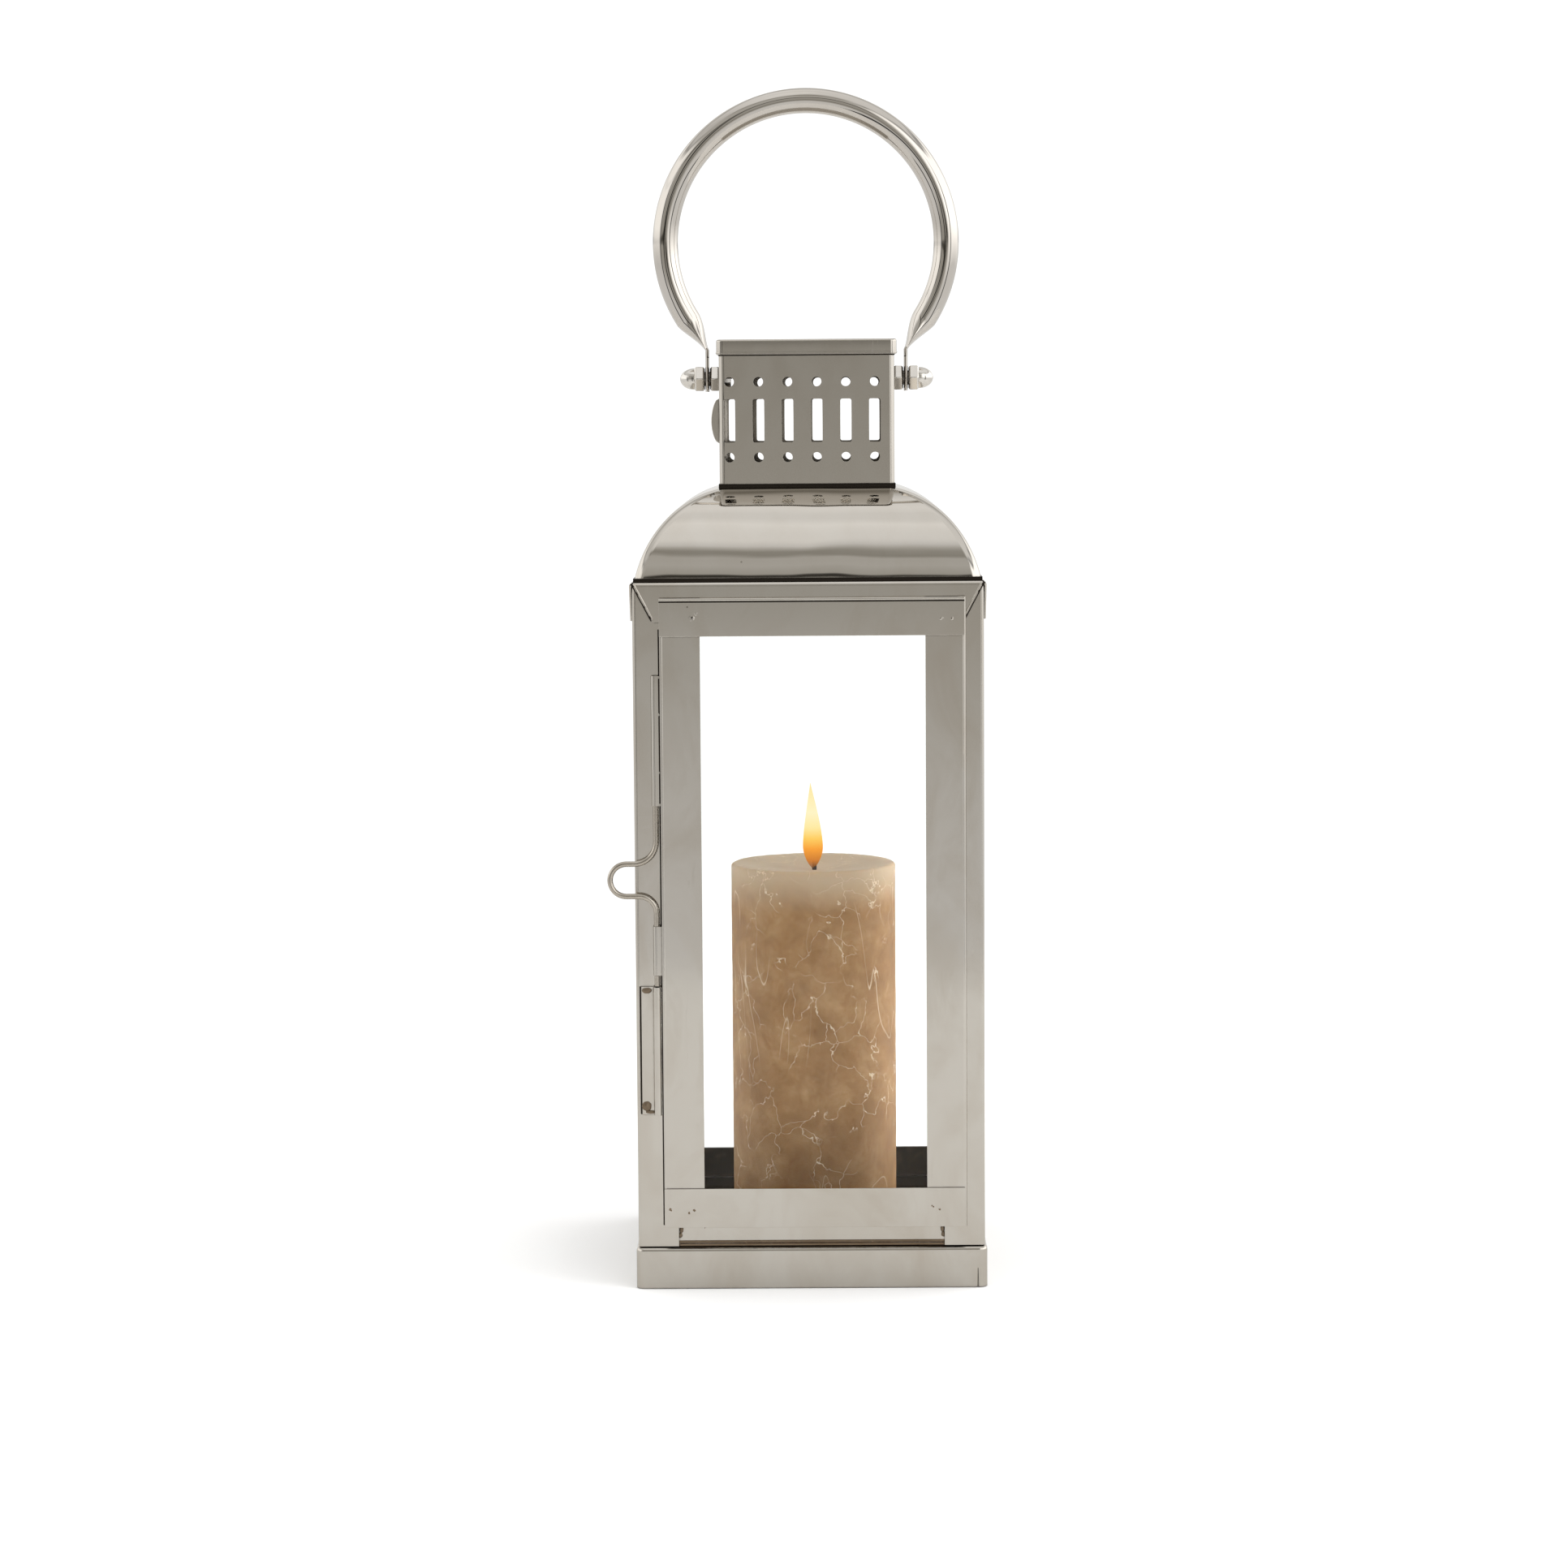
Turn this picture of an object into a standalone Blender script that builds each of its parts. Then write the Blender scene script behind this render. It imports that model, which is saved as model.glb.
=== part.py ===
"""A candle lantern in polished sheet steel: a square glazed body on a folded base, a domed roof with a vented
chimney, a bail handle on two screws, a hinged door with a slide bolt, and a pillar candle.

Metres, +Z up, the door faces -Y, and the origin is the middle of the base's underside. A piece that repeats
round the body is made for the front and turned about Z in quarter turns.
"""

import math

import bmesh
import bpy
from mathutils import Matrix, Vector

MM = 0.001

# Clearances and sheet
GAP = 0.3 * MM  # between pieces that touch or are welded
SHEET = 0.8 * MM  # body, roof and base
DOOR_SHEET = 0.6 * MM
CAP_SHEET = 0.7 * MM
GLASS = 2.0 * MM

# Body and base
BODY = 142 * MM  # square over the corner posts
BODY_TOP = 289.5 * MM  # top of the headers
BASE_LIP = 1.0 * MM  # the base stands this far outside the body
BASE_HEIGHT = 17 * MM
BASE_CORNER = 3.5 * MM
BASE_EDGE = 1.7 * MM
BASE_FLANGE = 9 * MM
POST_FLANGE = 16.6 * MM
POST_BEND = 1.5 * MM
POST_CORNER_RELIEF = 1.2 * MM
RAIL_LIFT = 2.5 * MM  # the dark gap under the bottom rails
RAIL_HEIGHT = 11.5 * MM
RAIL_LAP = 7.5 * MM  # how far a rail or a pane goes behind the post flanges
HEADER_HEIGHT = 16 * MM
HEADER_FLANGE = 8 * MM
HEADER_EDGE = 1.8 * MM
MITRE_RUN = 8.5 * MM  # a header is this much shorter at its lower corners
MITRE_INSET = 0.8 * MM
PANE_TOP = 7 * MM  # under the header's flange

# Roof, chimney and cap
EAVE_INSET = 0.8 * MM
EAVE_CORNER = 3.5 * MM
ROOF_RISE = 37 * MM
ROOF_STEPS = 9
ROOF_TOP_FLANGE = 5 * MM
CHIMNEY = 72 * MM
CHIMNEY_HEIGHT = 59 * MM
CHIMNEY_CORNER = 2.5 * MM
CAP_CLEAR = 0.3 * MM
CAP_HEIGHT = 6.2 * MM
CAP_EDGE = 0.8 * MM
VENT_COLUMNS = 6
VENT_PITCH = 11.95 * MM
VENT_HOLE = 4.0 * MM
VENT_SLOT = (4.8 * MM, 17.8 * MM)
VENT_SLOT_CORNER = 0.9 * MM
VENT_LOW, VENT_MIDDLE, VENT_HIGH = 11.8 * MM, 26.8 * MM, 42.7 * MM  # above the chimney's foot
VENT_SHIFT = {"front": -1.9 * MM, "right": 0.0, "rear": 1.2 * MM, "left": 0.0}
TONGUE_RISE = 3.4 * MM
TONGUE_WIDTH = 4.0 * MM

# Handle and its pivots
PIVOT_HEIGHT = 44.2 * MM  # above the chimney's foot
SCREW = 6.0 * MM
SCREW_HEAD = (10 * MM, 3.2 * MM)
SCREW_PAST_HANDLE = 6.5 * MM
NUT_FLATS = 10 * MM
LOCK_NUT = 4.1 * MM
CAP_NUT_HEX = 4.4 * MM
CAP_NUT_DOME = 5.9 * MM
CAP_NUT_ROUND = 9.0 * MM
RING_RADIUS = 58.65 * MM  # of the handle's bent tube, to its middle
RING_RISE = 56.3 * MM  # its centre above the pivots
TUBE = 10.5 * MM
TUBE_WALL = 0.6 * MM
STRAP = 1.7 * MM  # the tube's thickness where it is pressed flat
STRAP_BEND_RISE = 11.9 * MM
RING_END_RISE = 24.7 * MM
STRAP_DROP = 5.5 * MM
HANDLE_SIDES = 14

# Door
DOOR_LEFT = 11.0 * MM  # the door's edges, in from the body's
DOOR_RIGHT = 7.4 * MM
DOOR_BOTTOM = 9.2 * MM  # above the base
DOOR_TOP = 6.3 * MM  # below the top of the headers
STILE = 16.4 * MM
DOOR_RAIL_TOP = 15.4 * MM
DOOR_RAIL_BOTTOM = 16.1 * MM
RAIL_SHORT = 0.7 * MM
PANE_LAP = 6.4 * MM
HINGE_ROD = 1.8 * MM
RUNNING = 0.1 * MM  # room all round for a wire that turns or slides in rolled sheet
ROD_END_RISE = 9.8 * MM  # above the door's foot
ROD_END_DROP = 2 * MM  # below the header
ROD_BEND = 1.6 * MM
ROD_TAIL = 3.0 * MM
NOTCH = 4.2 * MM
CLIP_SHEET = 0.5 * MM
CLIP_WIDTH = 10 * MM
CLIP_FINGER = 3.0 * MM
CLIP_FOOT = 5.0 * MM

# Heights on the door, measured from its middle, and the slide bolt
DOOR_CLIP_LOW, DOOR_CLIP_HIGH = -60 * MM, 20 * MM
BOLT_WIRE = 2.3 * MM
BOLT_OUT = 2.1 * MM  # its axis, out from the door's edge
SLEEVE_WALL = 0.3 * MM
SLEEVE_LEAF = 10 * MM
UPPER_SLEEVE_FOOT = 44.5 * MM
UPPER_SLEEVE_TOP = 21.6 * MM  # below the header
LOWER_SLEEVE = (-24.7 * MM, -4.7 * MM)
CATCH = (-82.3 * MM, -29.6 * MM)
CATCH_WALL = 0.45 * MM
CATCH_LEAF = 6.7 * MM
BOLT_TAIL = 0.4 * MM  # over the catch, with the bolt drawn
BOLT_HEAD = 7.9 * MM  # inside the upper sleeve, from its top
LOOP_HEIGHT = 14.2 * MM
LOOP_RADIUS = 6.6 * MM
LOOP_OUT = 12.2 * MM
LOOP_FILLETS = (9 * MM, 7 * MM)

# Candle
CANDLE = 70 * MM
CANDLE_HEIGHT = 149 * MM
CANDLE_SHIFT = 1.5 * MM
CANDLE_EDGE = 1.4 * MM
DISH_DEPTH = 3.2 * MM
DISH_RIM = 3.5 * MM
WICK = 2.0 * MM
WICK_DEPTH = 5 * MM
WICK_RISE = 7 * MM

# Places worked out from the sizes above
HALF = BODY / 2
FLOOR_TOP = BASE_HEIGHT + GAP + SHEET
HEADER_FACE = HALF + GAP + SHEET
FLANGE_UNDER = BODY_TOP - SHEET
CHIMNEY_FOOT = BODY_TOP + GAP + ROOF_RISE + GAP
CHIMNEY_TOP = CHIMNEY_FOOT + CHIMNEY_HEIGHT
PIVOT_Z = CHIMNEY_FOOT + PIVOT_HEIGHT
LOCK_NUT_X = CHIMNEY / 2 + GAP
STRAP_X = LOCK_NUT_X + LOCK_NUT + GAP + STRAP / 2
CAP_NUT_X = STRAP_X + STRAP / 2 + GAP
DOOR_X = (-HALF + DOOR_LEFT, HALF - DOOR_RIGHT)
DOOR_Z = (BASE_HEIGHT + DOOR_BOTTOM, BODY_TOP - DOOR_TOP)
DOOR_MIDDLE = sum(DOOR_Z) / 2
ROLL = HINGE_ROD + 2 * (RUNNING + DOOR_SHEET)  # the stile's edge, rolled round the hinge rod
SLEEVE = BOLT_WIRE + 2 * (RUNNING + SLEEVE_WALL)
CATCH_TUBE = BOLT_WIRE + 2 * (2 * RUNNING + CATCH_WALL)
BOLT = Vector((DOOR_X[0] - BOLT_OUT, -(HALF + GAP + CATCH_TUBE / 2), 0))
# The stiles pass in front of the sleeves' leaves, and the rolled edge in front of the header.
STILE_BACK = min(BOLT.y - SLEEVE / 2 - GAP, DOOR_SHEET - ROLL - GAP - HEADER_FACE)
STILE_FRONT = STILE_BACK - DOOR_SHEET
HINGE = Vector((DOOR_X[1] - ROLL / 2, STILE_FRONT + ROLL / 2, 0))
PANE_FRONT = STILE_BACK + GAP
PANE_BACK = PANE_FRONT + GLASS
WINDOW_X = (DOOR_X[0] + STILE, DOOR_X[1] - STILE)
WINDOW_Z = (DOOR_Z[0] + DOOR_RAIL_BOTTOM, DOOR_Z[1] - DOOR_RAIL_TOP)
HEADER_FOOT = BODY_TOP - HEADER_HEIGHT
UPPER_SLEEVE = (UPPER_SLEEVE_FOOT, HEADER_FOOT - UPPER_SLEEVE_TOP - DOOR_MIDDLE)
ROD_ENDS = (DOOR_Z[0] + ROD_END_RISE, HEADER_FOOT - HINGE_ROD / 2 - ROD_END_DROP)

SIDES = ("front", "right", "rear", "left")
CORNERS = ("front_left", "front_right", "rear_right", "rear_left")


# The scene, and the kinds of solid that everything is made from


def fresh_collections():
    for obj in list(bpy.data.objects):
        bpy.data.objects.remove(obj, do_unlink=True)
    made = []
    for name in ("candle_lantern", "cutters"):
        collection = bpy.data.collections.new(name)
        bpy.context.scene.collection.children.link(collection)
        made.append(collection)
    return made


PARTS, CUTTERS = fresh_collections()


def material(name, colour, roughness, metallic=0.0, transmission=0.0):
    made = bpy.data.materials.new(name)
    made.use_nodes = True
    shader = made.node_tree.nodes["Principled BSDF"]
    shader.inputs["Base Color"].default_value = (*colour, 1)
    shader.inputs["Roughness"].default_value = roughness
    shader.inputs["Metallic"].default_value = metallic
    shader.inputs["Transmission Weight"].default_value = transmission
    return made


STEEL = material("polished_steel", (0.62, 0.60, 0.56), 0.16, metallic=1.0)
BRIGHT = material("bright_fastener", (0.72, 0.71, 0.69), 0.2, metallic=1.0)
PANE = material("clear_glass", (0.95, 0.97, 0.96), 0.02, transmission=1.0)
WAX = material("candle_wax", (0.55, 0.38, 0.22), 0.5)
COTTON = material("charred_wick", (0.05, 0.04, 0.03), 0.9)


def new_object(name, data, finish, collection=PARTS):
    obj = bpy.data.objects.new(name, data)
    if finish:
        data.materials.append(finish)
    collection.objects.link(obj)
    if collection is CUTTERS:
        obj.hide_render = True
        obj.display_type = "WIRE"
    return obj


def mesh_object(name, bm, finish, collection=PARTS, smooth=False):
    data = bpy.data.meshes.new(name)
    bmesh.ops.recalc_face_normals(bm, faces=bm.faces)
    bm.to_mesh(data)
    bm.free()
    if smooth:
        data.shade_smooth()
        data.set_sharp_from_angle(angle=math.radians(35))
    return new_object(name, data, finish, collection)


def block(name, low, high, finish, collection=PARTS):
    low, high = Vector(low), Vector(high)
    bm = bmesh.new()
    bmesh.ops.create_cube(bm, size=1)
    bmesh.ops.scale(bm, vec=high - low, verts=bm.verts)
    bmesh.ops.translate(bm, vec=(high + low) / 2, verts=bm.verts)
    return mesh_object(name, bm, finish, collection)


def outline_curve(name, outlines, length, finish, collection=PARTS):
    """Flat closed outlines in local XY, given their thickness or length along local Z."""
    data = bpy.data.curves.new(name, "CURVE")
    data.dimensions = "2D"
    data.fill_mode = "BOTH"
    data.extrude = length / 2
    for outline in outlines:
        spline = data.splines.new("POLY")
        spline.points.add(len(outline) - 1)
        for point, (x, y) in zip(spline.points, outline):
            point.co = (x, y, 0, 1)
        spline.use_cyclic_u = True
    return new_object(name, data, finish, collection)


def wire(name, points, diameter, finish):
    data = bpy.data.curves.new(name, "CURVE")
    data.dimensions = "3D"
    data.bevel_depth = diameter / 2
    data.bevel_resolution = 2
    data.use_fill_caps = True
    spline = data.splines.new("POLY")
    spline.points.add(len(points) - 1)
    for point, place in zip(spline.points, points):
        point.co = (*place, 1)
    return new_object(name, data, finish)


def turned(name, profile, finish, steps=20, collection=PARTS):
    """A profile of (radius, height) points, from the top down its outer side, turned about local Z."""
    data = bpy.data.meshes.new(name)
    points = [(radius, 0, height) for radius, height in profile]
    data.from_pydata(points, [(i, i + 1) for i in range(len(points) - 1)], [])
    obj = new_object(name, data, finish, collection)
    screw = obj.modifiers.new("turn", "SCREW")
    screw.steps = screw.render_steps = steps
    screw.use_merge_vertices = True
    screw.merge_threshold = 1e-6
    screw.use_smooth_shade = True
    return obj


def as_mesh(obj):
    """The evaluated shape as a mesh of its own, with a curve's caps welded, ready to be cut."""
    bpy.context.view_layer.update()
    graph = bpy.context.evaluated_depsgraph_get()
    data = bpy.data.meshes.new_from_object(obj.evaluated_get(graph))
    bm = bmesh.new()
    bm.from_mesh(data)
    bmesh.ops.remove_doubles(bm, verts=bm.verts, dist=1e-6)
    bm.to_mesh(data)
    bm.free()
    name, place, home = obj.name, obj.matrix_world.copy(), obj.users_collection[0]
    bpy.data.objects.remove(obj, do_unlink=True)
    made = new_object(name, data, None, home)
    made.matrix_world = place
    return made


def combine(obj, other, operation="DIFFERENCE"):
    boolean = obj.modifiers.new(other.name, "BOOLEAN")
    boolean.operation = operation
    boolean.object = other
    return obj


def along_x(place=(0, 0, 0)):
    """Local X, Y and Z become world Y, Z and X: for a section that is drawn out along X."""
    turn = Matrix(((0, 0, 1), (1, 0, 0), (0, 1, 0))).to_4x4()
    return Matrix.Translation(place) @ turn


def about_x(place, facing=1):
    """Local Z becomes world X, or -X, for a turned piece on the pivot axis."""
    return Matrix.Translation(place) @ Matrix.Rotation(facing * math.pi / 2, 4, "Y")


def quarter(turns):
    return Matrix.Rotation(turns * math.pi / 2, 4, "Z")


def arc(centre, radius, start, sweep, steps):
    """Points on an arc in a plane; angles in degrees."""
    turn = [math.radians(start + sweep * i / steps) for i in range(steps + 1)]
    return [(centre[0] + radius * math.cos(a), centre[1] + radius * math.sin(a)) for a in turn]


def rounded_rectangle(centre, size, radius, steps=4):
    points = []
    for i, (sx, sy) in enumerate(((1, 1), (-1, 1), (-1, -1), (1, -1))):
        corner = (centre[0] + sx * (size[0] / 2 - radius), centre[1] + sy * (size[1] / 2 - radius))
        points += arc(corner, radius, 90 * i, 90, steps)
    return points


def curl(centre, radius, wall, start, way, sweep, leaf):
    """The section of a sheet rolled into a tube: it leaves the flat leaf at the angle start."""
    outer = arc(centre, radius, start, way * sweep, 14)
    inner = arc(centre, radius - wall, start, way * sweep, 14)
    along = way * Vector((math.sin(math.radians(start)), -math.cos(math.radians(start)))) * leaf
    ends = [tuple(Vector(first) + along) for first in (outer[0], inner[0])]
    return [ends[0]] + outer + inner[::-1] + [ends[1]]


def ring_shell(name, stations, sheet, finish, floor=None):
    """Sheet formed through square rings of (half size, corner radius, height), its wall put on the inside."""
    bm = bmesh.new()
    rings = []
    for half, radius, height in stations:
        points = rounded_rectangle((0, 0), (2 * half, 2 * half), radius)
        rings.append([bm.verts.new((x, y, height)) for x, y in points])
    for lower, upper in zip(rings, rings[1:]):
        for i in range(len(lower)):
            bm.faces.new((lower[i - 1], lower[i], upper[i], upper[i - 1]))
    if floor is not None:
        bm.faces.new(rings[floor])
    obj = mesh_object(name, bm, finish, smooth=True)
    solidify = obj.modifiers.new("sheet", "SOLIDIFY")
    solidify.thickness = sheet
    solidify.offset = -1
    solidify.use_even_offset = True
    return obj


# Body


def make_base():
    half = HALF + BASE_LIP
    bend = [(half - BASE_EDGE + r, BASE_CORNER - BASE_EDGE + r, z)
            for r, z in arc((0, BASE_HEIGHT - BASE_EDGE), BASE_EDGE, 0, 90, 3)]
    inner = (half - BASE_FLANGE, BASE_CORNER - BASE_EDGE, BASE_HEIGHT)
    ring_shell("base_tray", [(half, BASE_CORNER, 0), *bend, inner], SHEET, STEEL, floor=0)
    side = BODY - 2 * (SHEET + GAP)
    plate = rounded_rectangle((0, 0), (side, side), POST_CORNER_RELIEF, 2)
    floor_plate = outline_curve("floor_plate", [plate], SHEET, STEEL)
    floor_plate.location.z = FLOOR_TOP - SHEET / 2


def post_outline():
    inside = POST_BEND - SHEET
    outer = arc((POST_BEND, POST_BEND), POST_BEND, 270, -90, 4)
    inner = arc((POST_BEND, POST_BEND), inside, 180, 90, 4)
    return [(POST_FLANGE, 0), *outer, (0, POST_FLANGE), (SHEET, POST_FLANGE), *inner, (POST_FLANGE, SHEET)]


def make_posts():
    foot, top = BASE_HEIGHT + GAP, BODY_TOP - HEADER_EDGE - GAP
    for turns, corner in enumerate(CORNERS):
        post = outline_curve(f"corner_post_{corner}", [post_outline()], top - foot, STEEL)
        post.matrix_world = quarter(turns) @ Matrix.Translation((-HALF, -HALF, (foot + top) / 2))
        if corner == "front_right":
            drill_for_hinge_rod(as_mesh(post))


def drill_for_hinge_rod(post):
    radius = HINGE_ROD / 2 + GAP
    for height, end in zip(ROD_ENDS, ("low", "high")):
        deep = 4 * SHEET
        profile = [(0, deep), (radius, deep), (radius, -deep), (0, -deep)]
        drill = turned(f"rod_drill_{end}", profile, None, 16, CUTTERS)
        lie = Matrix.Rotation(math.pi / 2, 4, "X")
        drill.matrix_world = Matrix.Translation((HINGE.x, -HALF, height)) @ lie
        combine(post, drill)


def make_rails():
    reach = HALF - POST_FLANGE + RAIL_LAP
    outer = HALF - SHEET - GAP
    foot = BASE_HEIGHT + RAIL_LIFT
    for turns, side in enumerate(SIDES):
        low, high = (-reach, -outer, foot), (reach, -outer + SHEET, foot + RAIL_HEIGHT)
        rail = block(f"bottom_rail_{side}", low, high, STEEL)
        rail.matrix_world = quarter(turns)


def header_outline():
    """The header's section in Y and Z: an upright face, a rounded top edge and a flange turned inwards."""
    face = -HEADER_FACE
    bend = (face + HEADER_EDGE, BODY_TOP - HEADER_EDGE)
    back = face + HEADER_EDGE + HEADER_FLANGE
    outer = arc(bend, HEADER_EDGE, 180, -90, 4)
    inner = arc(bend, HEADER_EDGE - SHEET, 90, 90, 4)
    foot = HEADER_FOOT
    return [(face, foot), *outer, (back, BODY_TOP), (back, FLANGE_UNDER), *inner, (face + SHEET, foot)]


def mitre(header, hand):
    """Cuts one end on a plane that leans in towards the header's foot and runs back at 45 degrees."""
    lean = MITRE_RUN / HEADER_HEIGHT
    bm = bmesh.new()
    bm.from_mesh(header.data)
    point = (hand * (HEADER_FACE - MITRE_INSET), -HEADER_FACE, BODY_TOP)
    bmesh.ops.transform(bm, matrix=header.matrix_world, verts=bm.verts)
    cut = bmesh.ops.bisect_plane(bm, geom=[*bm.verts, *bm.edges, *bm.faces], plane_co=point,
                                 plane_no=(hand, 1, -lean), clear_outer=True)
    edges = [e for e in cut["geom_cut"] if isinstance(e, bmesh.types.BMEdge)]
    bmesh.ops.contextual_create(bm, geom=edges)
    bmesh.ops.transform(bm, matrix=header.matrix_world.inverted(), verts=bm.verts)
    bmesh.ops.recalc_face_normals(bm, faces=bm.faces)
    bm.to_mesh(header.data)
    bm.free()


def make_headers():
    for turns, side in enumerate(SIDES):
        header = outline_curve(f"header_{side}", [header_outline()], 2 * HEADER_FACE, STEEL)
        header.matrix_world = along_x()
        header = as_mesh(header)
        mitre(header, 1)
        mitre(header, -1)
        header.matrix_world = quarter(turns) @ along_x()


def clip_outline(edge, hand, foot_face, pane_back):
    """A clip's section in X and Y: a foot on the sheet, a riser past the pane's edge, a finger behind it."""
    near, far = edge + hand * GAP, edge + hand * (GAP + CLIP_SHEET)
    back = pane_back + GAP
    tip, toe = edge - hand * CLIP_FINGER, far + hand * CLIP_FOOT
    return [(tip, back), (near, back), (near, foot_face), (toe, foot_face), (toe, foot_face + CLIP_SHEET),
            (far, foot_face + CLIP_SHEET), (far, back + CLIP_SHEET), (tip, back + CLIP_SHEET)]


def make_fixed_panes():
    reach = HALF - POST_FLANGE + RAIL_LAP - 2 * MM
    front = -(HALF - 2 * (SHEET + GAP))
    low, high = FLOOR_TOP + GAP, FLANGE_UNDER - PANE_TOP
    inside_post = -(HALF - SHEET - GAP)
    for turns, side in enumerate(SIDES[1:], 1):
        pane = block(f"glass_{side}", (-reach, front, low), (reach, front + GLASS, high), PANE)
        pane.matrix_world = quarter(turns)
        soften(pane, GLASS / 8)
        for hand, end in ((-1, "a"), (1, "b")):
            section = clip_outline(hand * reach, hand, inside_post, front + GLASS)
            clip = outline_curve(f"glass_clip_{side}_{end}", [section], CLIP_WIDTH, STEEL)
            clip.matrix_world = quarter(turns) @ Matrix.Translation((0, 0, (low + high) / 2))


def soften(obj, width):
    bevel = obj.modifiers.new("edge", "BEVEL")
    bevel.width = width
    bevel.segments = 1


# Roof


def make_roof():
    """The roof's profile is a quarter wave of an ellipse, steep at the eaves and flatter at the chimney."""
    eave, top = HALF - EAVE_INSET, CHIMNEY / 2
    low, high = BODY_TOP + GAP, BODY_TOP + GAP + ROOF_RISE
    first, last = 12, 78  # degrees of the ellipse
    angles = [math.radians(first + (last - first) * i / ROOF_STEPS) for i in range(ROOF_STEPS + 1)]
    across = (eave - top) / (math.cos(angles[0]) - math.cos(angles[-1]))
    upright = ROOF_RISE / (math.sin(angles[-1]) - math.sin(angles[0]))
    stations = []
    for i, a in enumerate(angles):
        half = top + across * (math.cos(a) - math.cos(angles[-1]))
        radius = EAVE_CORNER + (CHIMNEY_CORNER - EAVE_CORNER) * i / ROOF_STEPS
        stations.append((half, radius, low + upright * (math.sin(a) - math.sin(angles[0]))))
    stations.append((top - ROOF_TOP_FLANGE, CHIMNEY_CORNER, high))
    ring_shell("roof_dome", stations, SHEET, STEEL)


def vent_cutter(side, turns):
    """One wall's two rows of round holes and its slots; a hole that a pivot screw needs is left out."""
    outlines = []
    for i in range(VENT_COLUMNS):
        across = (i - (VENT_COLUMNS - 1) / 2) * VENT_PITCH + VENT_SHIFT[side]
        beside_pivot = side in ("right", "left") and abs(across) < VENT_PITCH
        for height in (VENT_LOW, VENT_HIGH):
            if not (beside_pivot and height == VENT_HIGH):
                outlines.append(arc((across, CHIMNEY_FOOT + height), VENT_HOLE / 2, 0, 360, 12)[:-1])
        slot = (across, CHIMNEY_FOOT + VENT_MIDDLE)
        outlines.append(rounded_rectangle(slot, VENT_SLOT, VENT_SLOT_CORNER, 2))
    cutter = as_mesh(outline_curve(f"vents_{side}", outlines, 6 * SHEET, None, CUTTERS))
    stand = Matrix.Rotation(math.pi / 2, 4, "X")
    cutter.matrix_world = quarter(turns) @ Matrix.Translation((0, -CHIMNEY / 2, 0)) @ stand
    return cutter


def pivot_drill(name, reach):
    """One round cutter on the pivot axis, as far as reach on both sides."""
    radius = SCREW / 2 + GAP
    profile = [(0, reach), (radius, reach), (radius, -reach), (0, -reach)]
    drill = turned(name, profile, None, 20, CUTTERS)
    drill.matrix_world = about_x((0, 0, PIVOT_Z))
    return drill


def make_chimney():
    half = CHIMNEY / 2
    walls = [(half, CHIMNEY_CORNER, CHIMNEY_FOOT), (half, CHIMNEY_CORNER, CHIMNEY_TOP)]
    chimney = as_mesh(ring_shell("chimney", walls, SHEET, STEEL))
    for turns, side in enumerate(SIDES):
        combine(chimney, vent_cutter(side, turns))
    combine(chimney, chimney_tongue(half), "UNION")
    combine(chimney, pivot_drill("chimney_drill", half + 2 * SHEET))
    half += CAP_CLEAR + CAP_SHEET
    high = CHIMNEY_TOP + GAP + CAP_SHEET
    corner = CHIMNEY_CORNER + CAP_CLEAR
    bend = [(half - CAP_EDGE + r, corner - CAP_EDGE + r, z)
            for r, z in arc((0, high - CAP_EDGE), CAP_EDGE, 0, 90, 2)]
    ring_shell("chimney_cap", [(half, corner, high - CAP_HEIGHT), *bend], CAP_SHEET, STEEL, floor=-1)


def chimney_tongue(half):
    """The slug of the left wall's front slot, bowed out and still joined at both ends."""
    column = (VENT_COLUMNS - 1) / 2 * VENT_PITCH
    reach = VENT_SLOT[1] / 2 + SHEET
    rise = [(math.sin(math.pi * i / 10)) ** 0.6 * TONGUE_RISE for i in range(11)]
    height = [CHIMNEY_FOOT + VENT_MIDDLE + reach * (i - 5) / 5 for i in range(11)]
    outer = [(-half - out, z) for out, z in zip(rise, height)]
    inner = [(x + SHEET / 2, z) for x, z in outer]
    tongue = outline_curve("slot_tongue", [outer + inner[::-1]], TONGUE_WIDTH, None, CUTTERS)
    tongue.matrix_world = Matrix.Translation((0, -column, 0)) @ Matrix.Rotation(math.pi / 2, 4, "X")
    return as_mesh(tongue)


# Handle


def hexagon(name, length, finish, collection=PARTS):
    """A hexagon bar end from height 0 to length, its corners turned off at both ends."""
    bm = bmesh.new()
    across_corners = NUT_FLATS / math.cos(math.pi / 6)
    radius = across_corners / 2
    bmesh.ops.create_cone(bm, segments=6, radius1=radius, radius2=radius, depth=length, cap_ends=True,
                          matrix=Matrix.Translation((0, 0, length / 2)))
    bar = mesh_object(name, bm, finish, collection)
    flat, slope = NUT_FLATS / 2, 0.45 * MM
    barrel = turned(f"{name}_turning", [(0, length), (flat, length), (flat + 2 * slope, length - slope),
                                        (flat + 2 * slope, slope), (flat, 0), (0, 0)], None, 24, CUTTERS)
    return combine(bar, barrel, "INTERSECT"), barrel


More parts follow.
